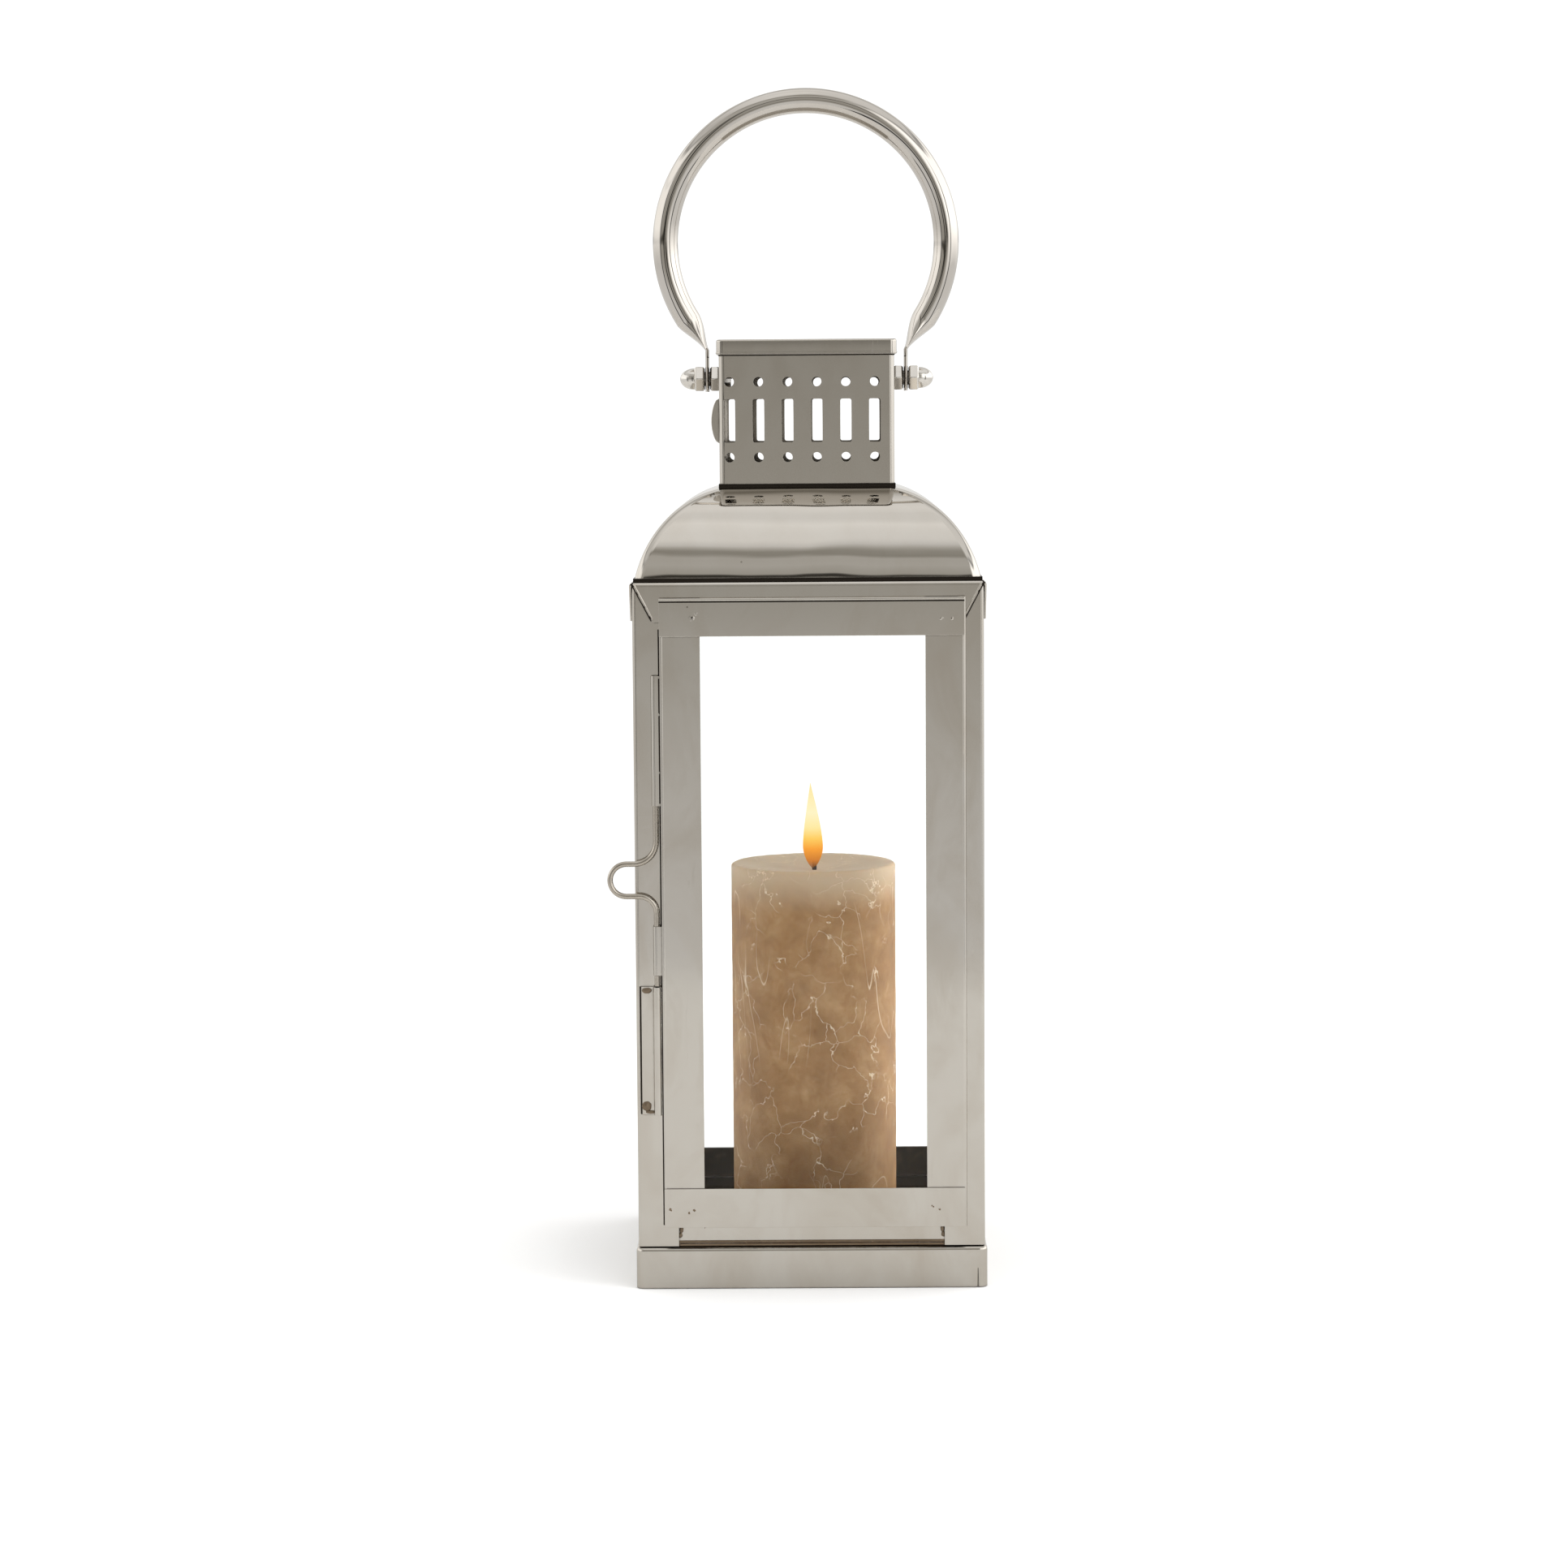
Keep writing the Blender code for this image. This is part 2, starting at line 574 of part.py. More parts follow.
def make_pivot(hand, end):
    bore = SCREW / 2 + GAP
    tip = CAP_NUT_X + SCREW_PAST_HANDLE
    head = CHIMNEY / 2 - SHEET - GAP
    radius, thick = SCREW_HEAD[0] / 2, SCREW_HEAD[1]
    profile = [(0, tip), (SCREW / 2 - GAP, tip), (SCREW / 2, tip - GAP), (SCREW / 2, head), (radius, head),
               (radius, head - thick + GAP), (radius - GAP, head - thick), (0, head - thick)]
    screw = turned(f"pivot_screw_{end}", profile, BRIGHT)
    screw.matrix_world = about_x((0, 0, PIVOT_Z), hand)

    nut, turning = hexagon(f"lock_nut_{end}", LOCK_NUT, BRIGHT)
    drill = turned(f"lock_nut_drill_{end}", [(0, 2 * LOCK_NUT), (bore, 2 * LOCK_NUT), (bore, -LOCK_NUT),
                                             (0, -LOCK_NUT)], None, 20, CUTTERS)
    combine(nut, drill)
    for piece in (nut, turning, drill):
        piece.matrix_world = about_x((hand * LOCK_NUT_X, 0, PIVOT_Z), hand)

    cap_nut, turning = hexagon(f"cap_nut_{end}", CAP_NUT_HEX, BRIGHT)
    top = CAP_NUT_HEX + CAP_NUT_DOME
    dome = [(CAP_NUT_ROUND / 2 * r, CAP_NUT_HEX + CAP_NUT_DOME * z) for r, z in arc((0, 0), 1, 90, -90, 6)]
    dome[0] = (0, top)
    dome += [(CAP_NUT_ROUND / 2, CAP_NUT_HEX - SHEET), (0, CAP_NUT_HEX - SHEET)]
    cap_dome = turned(f"cap_nut_dome_{end}", dome, None, 20, CUTTERS)
    deep = SCREW_PAST_HANDLE + GAP
    drill = turned(f"cap_nut_drill_{end}", [(0, deep), (bore, deep), (bore, -SHEET), (0, -SHEET)],
                   None, 20, CUTTERS)
    combine(combine(cap_nut, cap_dome, "UNION"), drill)
    for piece in (cap_nut, turning, cap_dome, drill):
        piece.matrix_world = about_x((hand * CAP_NUT_X, 0, PIVOT_Z), hand)


def handle_stations():
    """Half of the handle's line as (x, z, half thickness), from the top of the ring to the strap's end."""
    last = -math.degrees(math.asin((RING_RISE - RING_END_RISE) / RING_RADIUS))
    steps = [90, 75, 60, 45, 30, 15, 0, last / 2, last]
    round_half, flat_half = TUBE / 2, STRAP / 2
    ring = [(*arc((0, RING_RISE), RING_RADIUS, a, 0, 1)[0], round_half) for a in steps]
    start, bend = Vector(ring[-1][:2]), Vector((STRAP_X, STRAP_BEND_RISE))
    press = [(*start.lerp(bend, share), round_half + (flat_half - round_half) * share ** 0.85)
             for share in (0.3, 0.6, 0.85)]
    strap = [(STRAP_X, z, flat_half) for z in (STRAP_BEND_RISE, 0.7 * STRAP_BEND_RISE, 0, -0.6 * STRAP_DROP,
                                               -STRAP_DROP)]
    return ring + press + strap


def handle_ring(place, ahead, half, shrink, narrow):
    """One section of the tube across the line: round on the ring, and wider as it is pressed thinner."""
    wide = math.sqrt(2 * (TUBE / 2) ** 2 - half ** 2) * narrow - shrink
    thick = half - shrink
    squarer = 1 - 0.5 * (1 - half / (TUBE / 2))
    across = Vector((ahead.z, 0, -ahead.x))
    points = []
    for i in range(HANDLE_SIDES):
        c, s = math.cos(2 * math.pi * i / HANDLE_SIDES), math.sin(2 * math.pi * i / HANDLE_SIDES)
        out = math.copysign(abs(c) ** squarer, c) * thick
        side = math.copysign(abs(s) ** squarer, s) * wide
        points.append(place + across * out + Vector((0, side, 0)))
    return points


def handle_tube(name, shrink, short, collection):
    """A loft through the sections, closed at both ends; the bore is the same loft, thinner and shorter."""
    half_line = handle_stations()
    end_x, end_z, end_half = half_line[-1]
    half_line[-1] = (end_x, end_z + short, end_half)
    line = [(-x, z, h) for x, z, h in half_line[:0:-1]] + half_line
    places = [Vector((x, 0, z)) for x, z, _ in line]
    bm = bmesh.new()
    rings = []
    for i, (_, _, half) in enumerate(line):
        ahead = (places[min(i + 1, len(line) - 1)] - places[max(i - 1, 0)]).normalized()
        narrow = 0.55 if i in (0, len(line) - 1) else 1.0
        rings.append([bm.verts.new(p) for p in handle_ring(places[i], ahead, half, shrink, narrow)])
    for first, second in zip(rings, rings[1:]):
        for i in range(HANDLE_SIDES):
            bm.faces.new((first[i - 1], first[i], second[i], second[i - 1]))
    bm.faces.new(rings[0])
    bm.faces.new(rings[-1])
    tube = mesh_object(name, bm, STEEL if collection is PARTS else None, collection, smooth=True)
    tube.location.z = PIVOT_Z
    return tube


def make_handle():
    handle = handle_tube("handle", 0, 0, PARTS)
    combine(handle, handle_tube("handle_bore", TUBE_WALL, 2 * TUBE_WALL, CUTTERS))
    combine(handle, pivot_drill("handle_drill", STRAP_X + STRAP))


# Door


def hung_on(hinge, *pieces):
    """Carries pieces, which are placed in the world, on the hinge's empty."""
    for piece in pieces:
        piece.parent = hinge
        piece.location -= hinge.location


def make_stiles(hinge):
    low, high = DOOR_Z
    flat_end = (DOOR_X[0] + STILE, STILE_BACK, high)
    flat = block("door_stile_left", (DOOR_X[0], STILE_FRONT, low), flat_end, STEEL)
    section = curl((HINGE.x, HINGE.y), ROLL / 2, DOOR_SHEET, 270, 1, 285, STILE - ROLL / 2)
    rolled = outline_curve("door_stile_right", [section], high - low, STEEL)
    rolled.location.z = DOOR_MIDDLE
    rolled = as_mesh(rolled)
    for height, end in zip(ROD_ENDS, ("low", "high")):
        reach = (height - NOTCH / 2, height + NOTCH / 2)
        outer = block(f"notch_outer_{end}", (HINGE.x - DOOR_SHEET, STILE_FRONT - SHEET, reach[0]),
                      (DOOR_X[1] + SHEET, HINGE.y + ROLL, reach[1]), None, CUTTERS)
        inner = block(f"notch_inner_{end}", (HINGE.x - ROLL, STILE_BACK + GAP / 3, reach[0]),
                      (DOOR_X[1], HINGE.y + ROLL, reach[1]), None, CUTTERS)
        combine(combine(rolled, outer), inner)
        hung_on(hinge, outer, inner)
    hung_on(hinge, flat, rolled)


def make_door_rails(hinge):
    front = STILE_FRONT - GAP - DOOR_SHEET
    for end, low, high in (("top", WINDOW_Z[1], DOOR_Z[1]), ("bottom", DOOR_Z[0], WINDOW_Z[0])):
        right_end = (DOOR_X[1] - RAIL_SHORT, front + DOOR_SHEET, high)
        hung_on(hinge, block(f"door_rail_{end}", (DOOR_X[0], front, low), right_end, STEEL))


def make_door_glass(hinge):
    left, right = WINDOW_X[0] - PANE_LAP, WINDOW_X[1] + PANE_LAP
    pane = block("door_glass", (left, PANE_FRONT, WINDOW_Z[0] - PANE_LAP),
                 (right, PANE_BACK, WINDOW_Z[1] + PANE_LAP), PANE)
    soften(pane, GLASS / 8)
    hung_on(hinge, pane)
    for hand, edge, side in ((-1, left, "left"), (1, right, "right")):
        for height, end in ((DOOR_CLIP_LOW, "low"), (DOOR_CLIP_HIGH, "high")):
            section = clip_outline(edge, hand, PANE_FRONT, PANE_BACK)
            clip = outline_curve(f"door_clip_{side}_{end}", [section], CLIP_WIDTH, STEEL)
            clip.location.z = DOOR_MIDDLE + height
            hung_on(hinge, clip)


def make_hinge_rod():
    """A staple of wire through the rolled edge, its ends bent back through the corner post."""
    inside = -HALF + SHEET + ROD_TAIL
    line = [(inside, ROD_ENDS[0])]
    line += arc((HINGE.y + ROD_BEND, ROD_ENDS[0] + ROD_BEND), ROD_BEND, 270, -90, 4)
    line += arc((HINGE.y + ROD_BEND, ROD_ENDS[1] - ROD_BEND), ROD_BEND, 180, -90, 4)
    line += [(inside, ROD_ENDS[1])]
    wire("hinge_rod", [(HINGE.x, y, z) for y, z in line], HINGE_ROD, BRIGHT)


def tube_on_leaf(name, reach, radius, wall, start, leaf):
    section = curl((0, 0), radius, wall, start, -1, 300, leaf)
    tube = outline_curve(name, [section], reach[1] - reach[0], STEEL)
    tube.location = (BOLT.x, BOLT.y, DOOR_MIDDLE + sum(reach) / 2)
    return tube


def make_latch(hinge):
    for end, reach in (("upper", UPPER_SLEEVE), ("lower", LOWER_SLEEVE)):
        hung_on(hinge, tube_on_leaf(f"latch_sleeve_{end}", reach, SLEEVE / 2, SLEEVE_WALL, 270, SLEEVE_LEAF))
    tube_on_leaf("latch_catch", CATCH, CATCH_TUBE / 2, CATCH_WALL, 90, CATCH_LEAF)
    low, middle = CATCH[1] + BOLT_TAIL, LOOP_HEIGHT
    upper, lower = LOOP_FILLETS
    line = [(0, UPPER_SLEEVE[1] - BOLT_HEAD)]
    line += arc((-upper, middle + LOOP_RADIUS + upper), upper, 0, -90, 5)
    line += arc((-LOOP_OUT, middle), LOOP_RADIUS, 90, 180, 10)
    line += arc((-lower, middle - LOOP_RADIUS - lower), lower, 90, -90, 5)
    line += [(0, low)]
    bolt = wire("latch_bolt", [(x, 0, z) for x, z in line], BOLT_WIRE, BRIGHT)
    bolt.location = (BOLT.x, BOLT.y, DOOR_MIDDLE)
    hung_on(hinge, bolt)


def make_door():
    hinge = bpy.data.objects.new("door_hinge", None)
    hinge.location = HINGE
    PARTS.objects.link(hinge)
    make_stiles(hinge)
    make_door_rails(hinge)
    make_door_glass(hinge)
    make_latch(hinge)
    make_hinge_rod()


# Candle


def make_candle():
    radius, top = CANDLE / 2, CANDLE_HEIGHT
    bowl = radius - DISH_RIM
    dish = [(bowl * share, top - DISH_DEPTH * (1 - share ** 4)) for share in (0.3, 0.55, 0.75, 0.9, 1.0)]
    well = top - DISH_DEPTH
    bore = WICK / 2 + GAP
    profile = [(0, well - WICK_DEPTH), (bore, well - WICK_DEPTH), (bore, well), *dish]
    profile += arc((radius - CANDLE_EDGE, top - CANDLE_EDGE), CANDLE_EDGE, 90, -90, 3)
    profile += arc((radius - CANDLE_EDGE, CANDLE_EDGE), CANDLE_EDGE, 0, -90, 3) + [(0, 0)]
    candle = turned("candle", profile, WAX, 32)
    candle.location = (CANDLE_SHIFT, 0, FLOOR_TOP + GAP)
    foot, tip = well - WICK_DEPTH + GAP, well + WICK_RISE
    wick = wire("wick", [(0, 0, foot), (0, 0, well + WICK_RISE / 2), (WICK / 2, 0, tip)], WICK, COTTON)
    wick.location = candle.location


make_base()
make_posts()
make_rails()
make_headers()
make_fixed_panes()
make_roof()
make_chimney()
make_handle()
make_pivot(1, "right")
make_pivot(-1, "left")
make_door()
make_candle()
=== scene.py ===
# %% [markdown]
# A candle lantern in polished sheet steel. It stands about half a metre tall to the top of its bail handle.
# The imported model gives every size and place, and this lesson turns it into something that looks made:
# folded sheet with rounded bends, rolled edges, punched vents, spot welds, wax and a small flame. Each step
# says what the piece is on the real lantern, how it could be made in Blender, and why one way was chosen.

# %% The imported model
import math

import bmesh
import bpy
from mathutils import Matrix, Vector


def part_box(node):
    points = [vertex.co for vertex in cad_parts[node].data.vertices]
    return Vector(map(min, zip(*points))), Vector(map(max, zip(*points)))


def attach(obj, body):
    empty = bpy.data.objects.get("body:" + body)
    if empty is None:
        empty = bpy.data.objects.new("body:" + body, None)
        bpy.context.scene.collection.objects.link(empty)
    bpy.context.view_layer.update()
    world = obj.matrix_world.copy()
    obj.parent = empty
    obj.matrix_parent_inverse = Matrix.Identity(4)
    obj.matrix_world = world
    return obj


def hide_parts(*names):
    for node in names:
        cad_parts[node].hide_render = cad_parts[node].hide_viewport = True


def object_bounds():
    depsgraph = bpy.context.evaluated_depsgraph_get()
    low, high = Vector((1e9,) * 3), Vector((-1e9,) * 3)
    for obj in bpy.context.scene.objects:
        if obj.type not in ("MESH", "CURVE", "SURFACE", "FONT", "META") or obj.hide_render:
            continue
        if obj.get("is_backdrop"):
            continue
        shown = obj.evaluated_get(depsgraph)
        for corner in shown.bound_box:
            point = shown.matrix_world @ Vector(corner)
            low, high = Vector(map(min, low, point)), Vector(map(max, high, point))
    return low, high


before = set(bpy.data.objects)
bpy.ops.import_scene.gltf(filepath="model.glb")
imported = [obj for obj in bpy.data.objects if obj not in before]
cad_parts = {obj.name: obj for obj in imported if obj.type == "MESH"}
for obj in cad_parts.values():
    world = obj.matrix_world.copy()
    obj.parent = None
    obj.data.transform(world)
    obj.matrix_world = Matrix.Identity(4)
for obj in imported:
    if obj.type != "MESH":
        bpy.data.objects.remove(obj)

MM = 0.001
CAD_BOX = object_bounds()
spans = [round((b - a) / MM, 1) for a, b in zip(*CAD_BOX)]
print("the model spans", spans, "mm and has", len(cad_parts), "pieces")

# %% [markdown]
# The camera stands a little more than a metre and a half in front of the door and looks down by less than
# six degrees, which suits a tall, narrow object. A long lens keeps the upright edges nearly parallel. The
# small turn and roll are those of a hand-levelled tripod.

# %% Camera
CAMERA_PLACE = (1.7 * MM, -1610 * MM, 360.9 * MM)
LOOK_DOWN, ROLL, TURN = 5.69, 0.40, 0.40
lens = bpy.data.cameras.new("studio_camera")
lens.lens = 87.7
lens.sensor_width = 36
camera = bpy.data.objects.new("studio_camera", lens)
camera.location = CAMERA_PLACE
camera.rotation_euler = [math.radians(a) for a in (90 - LOOK_DOWN, ROLL, TURN)]
bpy.context.scene.collection.objects.link(camera)
bpy.context.scene.camera = camera
print("camera lens", lens.lens, "mm")

# %% [markdown]
# Polished metal has almost no colour of its own: what we see is the room, mirrored. So the light is
# designed as a room. Straight behind the camera it is a dim warm grey, which is what flat sheets that face
# the camera show. At both sides hang tall white screens, which draw bright lines down every rounded bend.
# Overhead is a large soft box, and a thin dark rail under it puts the dark line on the handle and across
# the dome. A few lamps with the same layout would also work, but a room drawn from two angles, height and
# bearing, is easier to adjust and has no noise. The metal mirrors this room. The camera itself, and the
# camera's view straight through the panes, has a plain white backdrop instead.

# %% Room of light
def wire_up(tree, source, target):
    tree.links.new(source, target)


def maths(tree, operation, *values, clamp=False):
    """A Math node whose inputs are numbers or other nodes' outputs."""
    node = tree.nodes.new("ShaderNodeMath")
    node.operation, node.use_clamp = operation, clamp
    for socket, value in zip(node.inputs, values):
        if isinstance(value, bpy.types.NodeSocket):
            wire_up(tree, value, socket)
        else:
            socket.default_value = value
    return node.outputs[0]


def ramp(tree, factor, *stops, smooth="LINEAR"):
    """A Color Ramp; each stop is a place from 0 to 1 and a colour or a grey."""
    node = tree.nodes.new("ShaderNodeValToRGB")
    node.color_ramp.interpolation = smooth
    points = node.color_ramp.elements
    while len(points) < len(stops):
        points.new(1)
    for point, (place, shade) in zip(points, stops):
        point.position = place
        point.color = (*shade, 1) if isinstance(shade, tuple) else (shade, shade, shade, 1)
    wire_up(tree, factor, node.inputs["Fac"])
    return node.outputs["Color"]


def scaled(tree, value, low, high, to_low=0.0, to_high=1.0):
    """Takes the range from low to high to another range, and holds the ends."""
    node = tree.nodes.new("ShaderNodeMapRange")
    wire_up(tree, value, node.inputs["Value"])
    for name, number in zip(("From Min", "From Max", "To Min", "To Max"), (low, high, to_low, to_high)):
        node.inputs[name].default_value = number
    return node.outputs["Result"]


def mixed(tree, factor, first, second, mode="MIX"):
    """Two colours, each a value or another node's output, mixed by a factor."""
    node = tree.nodes.new("ShaderNodeMix")
    node.data_type, node.blend_type = "RGBA", mode
    wire_up(tree, factor, node.inputs["Factor"])
    for socket, value in ((node.inputs["A"], first), (node.inputs["B"], second)):
        if isinstance(value, bpy.types.NodeSocket):
            wire_up(tree, value, socket)
        else:
            socket.default_value = (*value, 1)
    return node.outputs["Result"]


def noise(tree, place, scale, detail=2.0, rough=0.5, stretch=None, distortion=0.0):
    """Noise at the given place; stretch scales the place first, so that the grain runs along one axis."""
    if stretch:
        mapping = tree.nodes.new("ShaderNodeMapping")
        mapping.inputs["Scale"].default_value = stretch
        wire_up(tree, place, mapping.inputs["Vector"])
        place = mapping.outputs[0]
    node = tree.nodes.new("ShaderNodeTexNoise")
    wire_up(tree, place, node.inputs["Vector"])
    if isinstance(scale, bpy.types.NodeSocket):
        wire_up(tree, scale, node.inputs["Scale"])
    else:
        node.inputs["Scale"].default_value = scale
    node.inputs["Detail"].default_value = detail
    node.inputs["Roughness"].default_value = rough
    node.inputs["Distortion"].default_value = distortion
    return node.outputs["Fac"]


BACKDROP, BRIGHTEST = 1.12, 3.0
LOWEST, HIGHEST = -30, 90
room = bpy.data.worlds.new("studio_room")
bpy.context.scene.world = room
room.use_nodes = True
tree = room.node_tree
direction = tree.nodes.new("ShaderNodeTexCoord").outputs["Generated"]
parts = tree.nodes.new("ShaderNodeSeparateXYZ")
wire_up(tree, direction, parts.inputs[0])
across, ahead, up = parts.outputs
DEGREE = math.pi / 180
bearing = maths(tree, "DIVIDE", maths(tree, "ARCTAN2", across, maths(tree, "MULTIPLY", ahead, -1.0)), DEGREE)
height = maths(tree, "DIVIDE", maths(tree, "ARCSINE", up), DEGREE)
# Overhead, the edges of the bright panels wander, so that the curved roof mirrors bent lines.
ripple = maths(tree, "SUBTRACT", noise(tree, direction, 2.4, 1.0), 0.5)
height = maths(tree, "MULTIPLY_ADD", ripple, scaled(tree, height, 30, 46, 0, 34), height)


def at_height(degrees):
    return (degrees - LOWEST) / (HIGHEST - LOWEST)


def at_bearing(degrees):
    return (degrees + 180) / 360


def warm(level):
    """The dim parts of the room are a little brown, and the bright parts are white."""
    dim = max(0.0, 1.0 - level / 0.95)
    return tuple(level * k / BRIGHTEST for k in (1.0, 1 - 0.06 * dim, 1 - 0.20 * dim))


up_the_wall = scaled(tree, height, LOWEST, HIGHEST)
round_the_room = scaled(tree, bearing, -180, 180)
in_front = ramp(tree, up_the_wall,
                *[(at_height(h), warm(v)) for h, v in
                  ((-30, 1.0), (-12, 0.98), (-8.5, 0.92), (-6, 0.82), (-3, 0.58), (-0.8, 0.53), (1.9, 0.52),
                   (2.6, 0.10), (3.6, 0.10), (4.4, 0.50), (16, 0.56), (22, 0.55), (23.5, 0.06), (25.2, 0.06),
                   (26.5, 0.58), (35, 0.70), (45.5, 0.68), (48.5, 0.44), (50, 0.46), (54, 0.72), (58, 0.98),
                   (65, 1.20), (75, 1.30), (90, 1.15))])
at_sides = ramp(tree, up_the_wall,
                *[(at_height(h), v / BRIGHTEST) for h, v in
                  ((-30, 1.05), (-6, 1.05), (0, 1.6), (8, 2.4), (34, 2.2), (40, 0.5), (46, 1.1), (90, 1.15))])
towards_sides = ramp(tree, round_the_room,
                     *[(at_bearing(b), v) for b, v in
                       ((-180, 0.26), (-150, 0.28), (-120, 0.62), (-62, 0.66), (-42, 0.36), (-36, 0.0),
                        (-12, 0.0), (12, 0.0), (19, 0.55), (30, 1.0), (120, 1.0), (150, 0.30), (180, 0.26))])
# Three dark upright strips, as door frames and curtains give, draw the fine lines on round pieces. They fade
# out overhead.
strips = ramp(tree, round_the_room,
              *[(at_bearing(b), v) for b, v in
                ((-50, 1.0), (-46.5, 0.10), (-42.5, 0.10), (-38, 1.0), (-17, 1.0), (-15, 0.05),
                 (-10, 0.05), (-8, 1.0), (36, 1.0), (39, 0.10), (43, 0.10), (47, 1.0))])
blend = mixed(tree, towards_sides, in_front, at_sides)
striped = mixed(tree, scaled(tree, height, 14, 30, 1.0, 0.0), blend, strips, "MULTIPLY")
lighting = tree.nodes["Background"]
wire_up(tree, striped, lighting.inputs["Color"])
lighting.inputs["Strength"].default_value = BRIGHTEST
seen = tree.nodes.new("ShaderNodeBackground")
seen.inputs["Color"].default_value = (1, 1, 1, 1)
seen.inputs["Strength"].default_value = BACKDROP
choose = tree.nodes.new("ShaderNodeMixShader")
ray = tree.nodes.new("ShaderNodeLightPath").outputs
bounced = maths(tree, "ADD", ray["Glossy Depth"], ray["Diffuse Depth"], clamp=True)
straight = maths(tree, "MULTIPLY", ray["Is Transmission Ray"], maths(tree, "SUBTRACT", 1.0, bounced))
in_view = maths(tree, "MAXIMUM", ray["Is Camera Ray"], straight)
wire_up(tree, in_view, choose.inputs[0])
wire_up(tree, lighting.outputs[0], choose.inputs[1])
wire_up(tree, seen.outputs[0], choose.inputs[2])
wire_up(tree, choose.outputs[0], tree.nodes["World Output"].inputs["Surface"])
bpy.context.scene.view_settings.view_transform = "Standard"
print("the room has", len(tree.nodes), "nodes")

# %% [markdown]
# The floor is a round pale table, wide enough to fill the view under the lantern. It ends not far outside
# the view, so that the upper part of the body mirrors the darker room and only its foot mirrors the bright
# table. The table is a little darker in the metal than it is to the eye, so that the foot doesn't burn out:
# this is painted shade, for the shade a studio table falls into away from the lamps.
# One large lamp overhead and one to the right brighten the table and give the wax its lighter side.

# %% Floor and lamps
def fresh_material(name, roughness=0.5):
    """A new material, its node tree and its Principled shader."""
    made = bpy.data.materials.new(name)
    made.use_nodes = True
    shader = made.node_tree.nodes["Principled BSDF"]
    shader.inputs["Roughness"].default_value = roughness
    return made, made.node_tree, shader


TABLE_RADIUS, TABLE_DROP = 0.95, 0.2 * MM
bpy.ops.mesh.primitive_circle_add(vertices=96, radius=TABLE_RADIUS, fill_type="NGON",
                                  location=(0, 0, -TABLE_DROP))
table = bpy.context.object
table.name = "table_top"
bpy.ops.object.transform_apply(location=True, rotation=True, scale=True)
table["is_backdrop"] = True
# The colour that the metal mirrors is painted shade: darker than the table looks to the camera.
SHADE_IN_MIRRORS = (0.80, 0.795, 0.785)
pale, tree, shader = fresh_material("pale_table", 0.85)
shader.inputs["Specular IOR Level"].default_value = 0.1
grain = tree.nodes.new("ShaderNodeTexNoise")
grain.inputs["Scale"].default_value = 3
to_the_eye = ramp(tree, grain.outputs["Fac"], (0.3, 0.93), (0.7, 0.96))
ray = tree.nodes.new("ShaderNodeLightPath").outputs
direct = maths(tree, "MAXIMUM", ray["Is Camera Ray"], ray["Is Transmission Ray"])
wire_up(tree, mixed(tree, direct, SHADE_IN_MIRRORS, to_the_eye), shader.inputs["Base Color"])
table.data.materials.append(pale)


def lamp(name, place, aim, size, power):
    """A round lamp that lights the scene but isn't seen or mirrored itself."""
    light = bpy.data.lights.new(name, "AREA")
    light.shape = "DISK"
    light.size, light.energy = size, power
    obj = bpy.data.objects.new(name, light)
    obj.location = place
    obj.rotation_euler = (Vector(aim) - Vector(place)).to_track_quat("-Z", "Y").to_euler()
    obj.visible_camera = obj.visible_glossy = False
    bpy.context.scene.collection.objects.link(obj)
    return light.energy


print("lamp powers", lamp("soft_top", (0.1, -0.2, 1.7), (0, 0, 0), 1.6, 7.0),
      lamp("soft_right", (1.3, -0.9, 0.8), (0, 0, 0.12), 0.8, 5.0))

# %% [markdown]
# Every metal here is one recipe with different numbers. Rolled sheet is never perfectly flat, so slow waves
# bend the mirrored room; polishing leaves fine parallel lines; handling leaves faint cloudy films and a few
# specks. Each effect is a node group, made once, that reads Object coordinates, so it stays in place when a
# piece moves.

# %% Surface effects as node groups
def group(name, inputs, outputs):
    """An empty shader node group with number inputs, and outputs that are numbers or colours."""
    made = bpy.data.node_groups.new(name, "ShaderNodeTree")
    for title, value in inputs.items():
        socket = made.interface.new_socket(title, in_out="INPUT", socket_type="NodeSocketFloat")
        socket.default_value = value
    for title, kind in outputs.items():
        made.interface.new_socket(title, in_out="OUTPUT", socket_type=f"NodeSocket{kind}")
    return made, made.nodes.new("NodeGroupInput").outputs, made.nodes.new("NodeGroupOutput").inputs


def object_place(tree):
    return tree.nodes.new("ShaderNodeTexCoord").outputs["Object"]


def make_waves():
    """Slow unevenness of hand-worked sheet, as a height from 0 to 1."""
    made, given, out = group("sheet_waves", {"Waves per metre": 22.0}, {"Height": "Float"})
    wire_up(made, noise(made, object_place(made), given[0], detail=1.5, rough=0.35, distortion=0.4), out[0])
    return made


def make_polish():
    """Polishing lines that run along Z or across it, with a few longer scratches, as a height and a mask."""
    made, given, out = group("polish_lines", {"Upright": 1.0}, {"Height": "Float", "Scratches": "Float"})
    place = object_place(made)
    upright = noise(made, place, 900, 3, 0.6, stretch=(1, 1, 0.02))
    flat = noise(made, place, 900, 3, 0.6, stretch=(0.02, 0.02, 1))
    height = maths(made, "MULTIPLY_ADD", maths(made, "SUBTRACT", upright, flat), given[0], flat)
    wire_up(made, height, out[0])
    long_marks = noise(made, place, 160, 2, 0.5, stretch=(1.0, 0.8, 0.05), distortion=0.6)
    off_line = maths(made, "ABSOLUTE", maths(made, "SUBTRACT", long_marks, 0.5))
    thin = scaled(made, off_line, 0.0, 0.006, 1.0, 0.0)
    where = scaled(made, noise(made, place, 30, 2), 0.55, 0.68)
    wire_up(made, maths(made, "MULTIPLY", thin, where, clamp=True), out[1])
    return made


